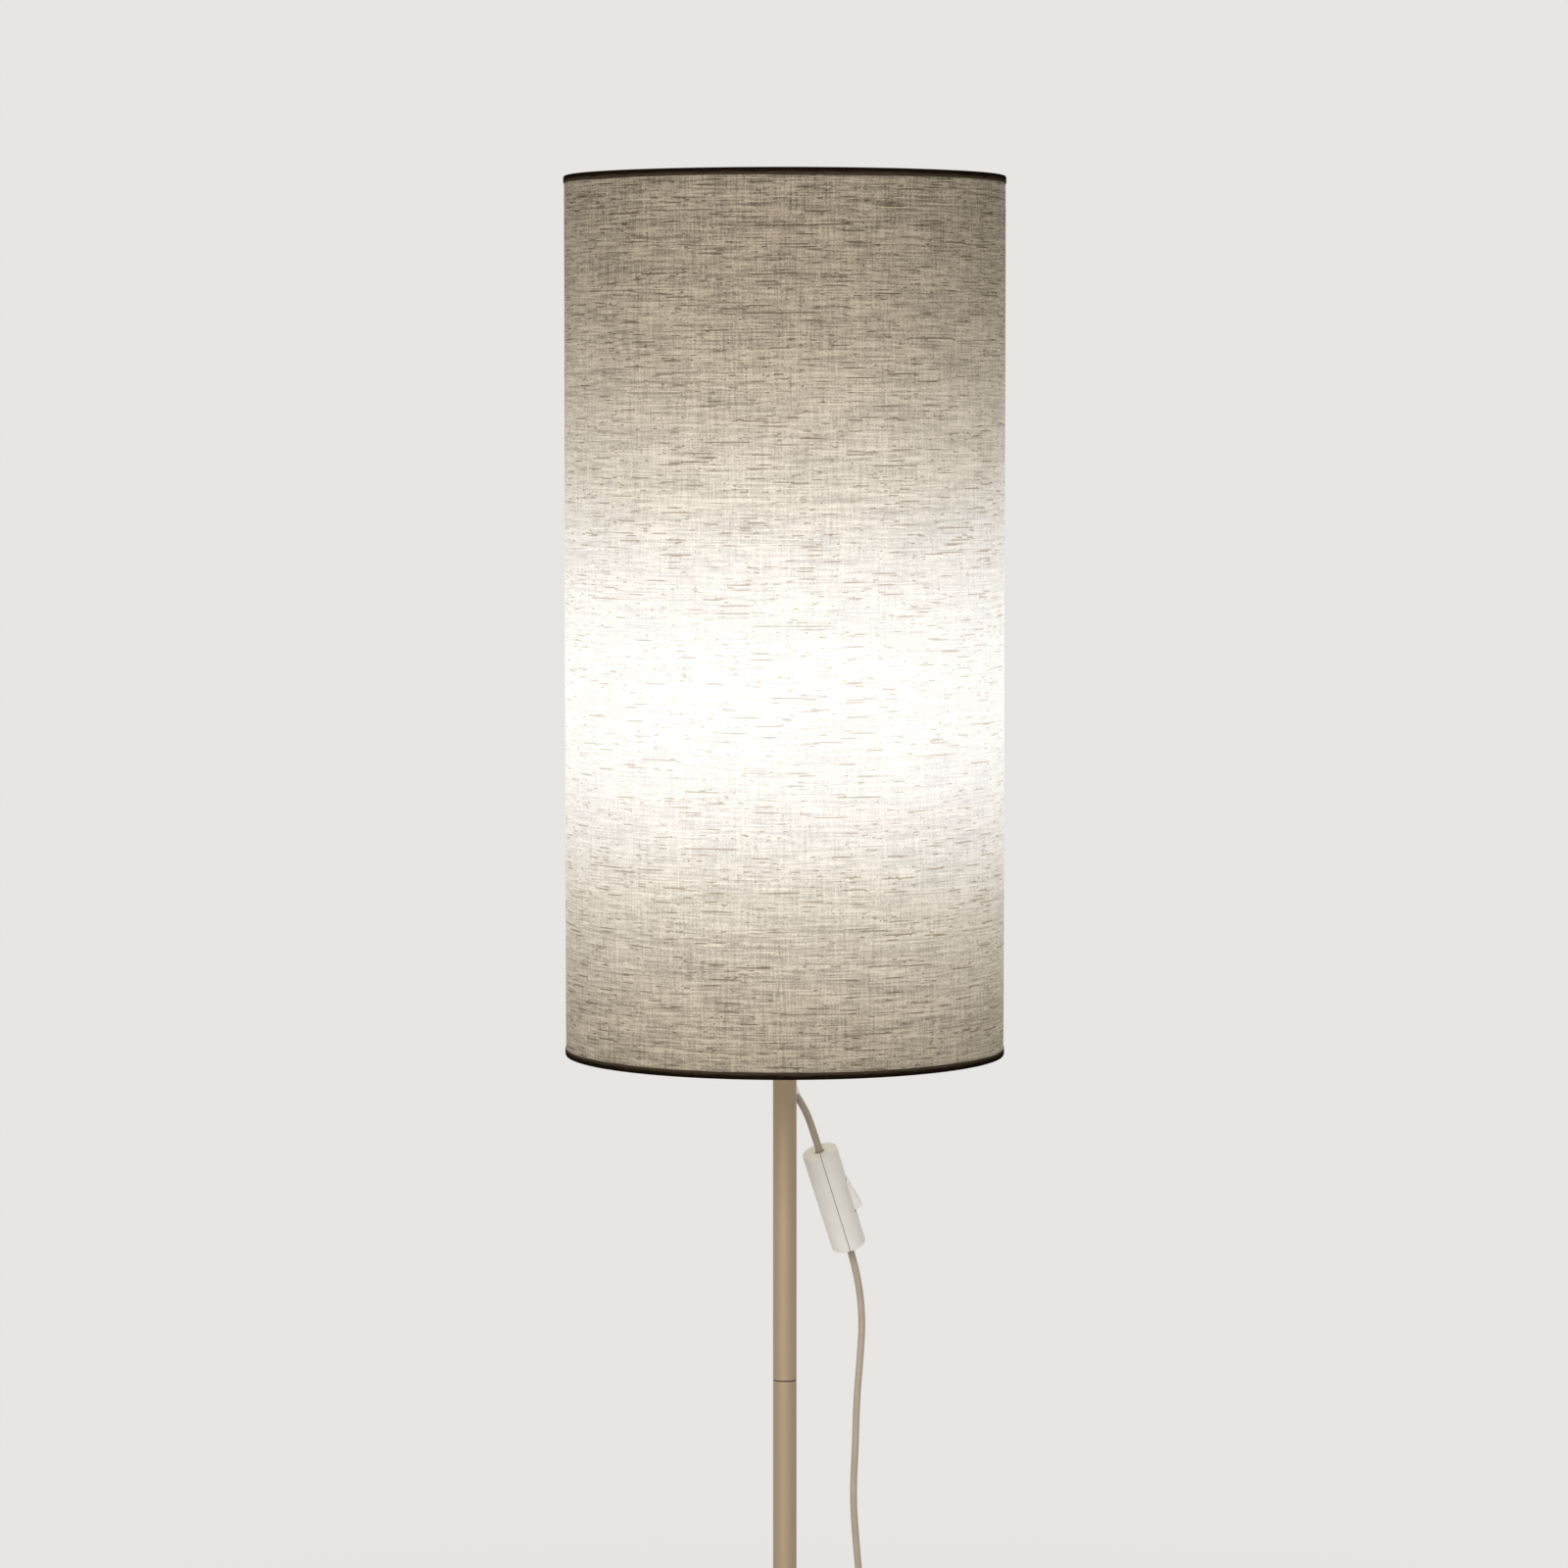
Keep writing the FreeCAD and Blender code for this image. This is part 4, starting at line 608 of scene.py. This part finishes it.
def make_hem(name, end_height, towards, waves):
    """A tape ring folded round an end of the shade. towards is 1 at the bottom and -1 at the top.

    waves gives the unevenness of its edge: how many to a turn, how high in millimetres, and from where.
    """
    deselect()
    radius, depth = FOLD[0]
    bpy.ops.mesh.primitive_circle_add(vertices=TAPE_AROUND, radius=radius * MM,
                                      location=(0, 0, end_height + towards * depth * MM))
    hem = bpy.context.object

    def fold():
        for before, after in zip(FOLD, FOLD[1:]):
            step = (0, 0, towards * (after[1] - before[1]) * MM)
            bpy.ops.mesh.extrude_region_move(TRANSFORM_OT_translate={"value": step})
            across = after[0] / before[0]
            bpy.ops.transform.resize(value=(across, across, 1), center_override=(0, 0, end_height))
        bpy.ops.mesh.select_all(action="SELECT")
        bpy.ops.mesh.normals_make_consistent(inside=False)

    edit(hem, fold)
    settle(hem, name, "shade", hem_tape)
    for vertex in hem.data.vertices:
        x, y, z = vertex.co
        turn = math.atan2(y, x)
        if math.hypot(x, y) > SHADE_RADIUS and abs(z - end_height) > 5 * MM:
            uneven = sum(height * math.sin(count * turn + phase) for count, height, phase in waves)
            vertex.co.z += towards * uneven * MM
    thicken(hem, TAPE, 0)
    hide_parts("shade_bottom_hem" if towards > 0 else "shade_top_hem")
    return hem


bottom_hem = make_hem("bottom_hem_tape", SHADE_FOOT, 1, ((7, 0.15, 0.4), (29, 0.07, 2.0), (71, 0.03, 1.1)))
top_hem = make_hem("top_hem_tape", SHADE_TOP, -1, ((5, 0.2, 1.7), (31, 0.07, 0.3), (67, 0.03, 2.6)))

# Seam: the end of the linen laps over its start down the back of the shade, with its edge turned under and
# glued. It runs from hem to hem.
SEAM_CLOTH = 0.5 * MM
SEAM_LIFT = 0.3 * MM
seam_low, seam_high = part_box("shade_seam")
deselect()
bpy.ops.mesh.primitive_plane_add(size=1, location=(0, 0, (seam_low[2] + seam_high[2]) / 2))
seam = bpy.context.object
seam.dimensions = (SEAM_WIDTH, seam_high[2] - seam_low[2], 0)
seam.rotation_euler = (math.radians(90), 0, 0)
settle(seam, "linen_seam", "shade", slubbed_linen)
edit(seam, lambda: bpy.ops.mesh.subdivide(number_cuts=30))
for vertex in seam.data.vertices:
    x, _, z = vertex.co
    waver = 0.25 * MM * math.sin(z * 60) * (abs(x) > SEAM_WIDTH * 0.46)
    turn = math.pi / 2 - (x + waver) / SHADE_RADIUS
    reach = SHADE_RADIUS + SEAM_LIFT
    vertex.co = (reach * math.cos(turn), reach * math.sin(turn), z)
edit(seam, lambda: bpy.ops.mesh.normals_make_consistent(inside=False))
thicken(seam, SEAM_CLOTH, 0)
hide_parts("shade_seam")

# Switch: two half shells of warm white plastic screwed together, with a fine parting line, and its
# brass contacts, steel pin and screws inside. The parting line's groove is painted dark as shade.
plastic = Finish("switch_plastic", Roughness=0.5, Specular_IOR_Level=0.4)
spot = plastic.place()
switch_side = Vector((switch_up.z, 0, -switch_up.x)).normalized()
from_centre = plastic.node("ShaderNodeVectorMath", {"operation": "SUBTRACT"}, spot, tuple(switch_centre))
across_seam = plastic.node("ShaderNodeVectorMath", {"operation": "DOT_PRODUCT"}, from_centre,
                           tuple(switch_side), out="Value")
# Painted shade: a dark line along the gap between the half shells, which the bump also sinks.
parting_groove_shade = plastic.ramp(plastic.maths("ABSOLUTE", across_seam), 0.12 * MM, 0.42 * MM, 1.0, 0.0)
handled = plastic.noise(spot, 55, 3)
moulding = plastic.noise(spot, 1900, 2)
paint(plastic.wire(
    Base_Color=plastic.mix(parting_groove_shade, plastic.mix(handled, (0.66, 0.64, 0.595), (0.74, 0.72, 0.675)),
                           (0.10, 0.085, 0.07)),
    Roughness=plastic.ramp(handled, 0.3, 0.7, 0.44, 0.56),
    Normal=plastic.bump(moulding - parting_groove_shade * 2, 0.05 * MM, 0.6),
), "switch_plain_half", "switch_rocker_half")
paint(turned_brass, "switch_line_terminal", "switch_load_terminal", "seesaw_contact")
paint(holder_moulding, "cord_clamps")
paint(zinc_plate, "rocker_pin", "rocker_plunger", "switch_terminal_screws", "cord_clamp_screws",
      "switch_housing_screws")

# Rocker: a key moulded in the same plastic, on a steel pin between the housing's lugs. It stands with its
# lower end proud, and its plunger tips the contact inside.
key = Finish("rocker_plastic", Roughness=0.42, Specular_IOR_Level=0.45)
paint(key.wire(
    Base_Color=key.mix(key.noise(key.place(), 90, 3), (0.68, 0.66, 0.615), (0.76, 0.74, 0.695)),
    Normal=key.bump(key.noise(key.place(), 1900, 2), 0.04 * MM, 0.5),
), "rocker")

# Plug: a flat two-pin plug moulded on the cord in the same grey-beige, with a ribbed boot. Each pin is
# sleeved with plastic for its first half and nickelled beyond it.
rubbery = Finish("plug_moulding", Roughness=0.5)
plug_tone = rubbery.noise(rubbery.place(), 90, 3)
paint(rubbery.wire(
    Base_Color=rubbery.mix(plug_tone, (0.35, 0.31, 0.25), (0.42, 0.375, 0.31)),
    Roughness=rubbery.ramp(plug_tone, 0.3, 0.7, 0.45, 0.58),
    Normal=rubbery.bump(rubbery.noise(rubbery.place(), 1700, 2), 0.06 * MM, 0.6),
), "plug_boot", "plug_body")
pin = Finish("plug_pin_metal")
from_boot = pin.node("ShaderNodeVectorMath", {"operation": "SUBTRACT"}, pin.place(), tuple(plug_start))
along_pin = pin.node("ShaderNodeVectorMath", {"operation": "DOT_PRODUCT"}, from_boot, tuple(plug_way),
                     out="Value")
SLEEVE_END = 71 * MM
bare = pin.ramp(along_pin, SLEEVE_END - 0.2 * MM, SLEEVE_END + 0.2 * MM)
paint(pin.wire(
    Base_Color=pin.mix(bare, (0.05, 0.048, 0.045), (0.66, 0.64, 0.60)),
    Metallic=bare * 1.0,
    Roughness=pin.ramp(bare, 0.0, 1.0, 0.5, 0.24),
), "plug_pins")

# Floor: a plain pale ground that keeps the lamp's shadow near it. Seen from the camera it runs out into a
# distance of the same pale colour between NEAR and FAR, in metres from the pole.
PALE = (0.80, 0.79, 0.77, 1)
NEAR, FAR = 0.9, 2.6


def bare_tree(holder):
    """The empty node tree of a material or a world."""
    holder.use_nodes = True
    holder.node_tree.nodes.clear()
    return holder.node_tree


def background_rays(tree):
    """1 for a ray from the camera, a mirror or glass, which all see the plain background."""
    seen = [add_node(tree, "ShaderNodeLightPath", {}, out=f"Is {ray} Ray")
            for ray in ("Camera", "Glossy", "Transmission")]
    return seen[0].maths("ADD", seen[0] + seen[1], seen[2], clamp=True)


def blend_shaders(tree, share, first, second, output):
    """Mix two shaders by a share and lead them to the tree's output."""
    both = add_node(tree, "ShaderNodeMixShader", {}, share, first, second)
    end = tree.nodes.new(output)
    tree.links.new(both.socket, end.inputs["Surface"])


deselect()
bpy.ops.mesh.primitive_circle_add(vertices=64, radius=40, fill_type="NGON", location=(0, 0, 0))
floor = bpy.context.object
floor.name = "floor"
ground = bpy.data.materials.new("pale_ground")
tree = bare_tree(ground)
distance = add_node(tree, "ShaderNodeVectorMath", {"operation": "LENGTH"},
                    add_node(tree, "ShaderNodeTexCoord", {}, out="Object"), out="Value")
fade = add_node(tree, "ShaderNodeMapRange", {"interpolation_type": "SMOOTHSTEP"}, distance, NEAR, FAR)
blend_shaders(tree, fade * background_rays(tree),
              add_node(tree, "ShaderNodeBsdfDiffuse", {}, PALE, out="BSDF"),
              add_node(tree, "ShaderNodeEmission", {}, PALE, 1.0, out="Emission"),
              "ShaderNodeOutputMaterial")
floor.data.materials.append(ground)

# Light: an even pale surround, a large soft lamp high at the front, and weaker ones above and behind. All
# of them are turned towards the middle of the lamp.
world = bpy.data.worlds.new("surround")
bpy.context.scene.world = world
tree = bare_tree(world)
blend_shaders(tree, background_rays(tree),
              add_node(tree, "ShaderNodeBackground", {}, (1, 1, 1, 1), 0.40, out="Background"),
              add_node(tree, "ShaderNodeBackground", {}, PALE, 1.0, out="Background"),
              "ShaderNodeOutputWorld")
LAMP_MIDDLE = Vector((0, 0, 1.1))


def soft_lamp(name, power, size, place):
    """A square area lamp at a place."""
    data = bpy.data.lights.new(name, "AREA")
    data.energy = power
    data.size = size
    lamp = bpy.data.objects.new(name, data)
    lamp.location = place
    lamp.rotation_euler = (LAMP_MIDDLE - Vector(place)).to_track_quat("-Z", "Y").to_euler()
    bpy.context.scene.collection.objects.link(lamp)


soft_lamp("front_lamp", 170, 2.4, (-0.9, -4.2, 3.0))
soft_lamp("top_lamp", 20, 2.0, (0.6, -0.6, 4.2))
soft_lamp("back_left_lamp", 38, 2.2, (-2.6, 3.2, 2.6))
soft_lamp("back_right_lamp", 38, 2.2, (2.6, 3.2, 2.6))

bpy.context.scene.view_settings.view_transform = "Standard"
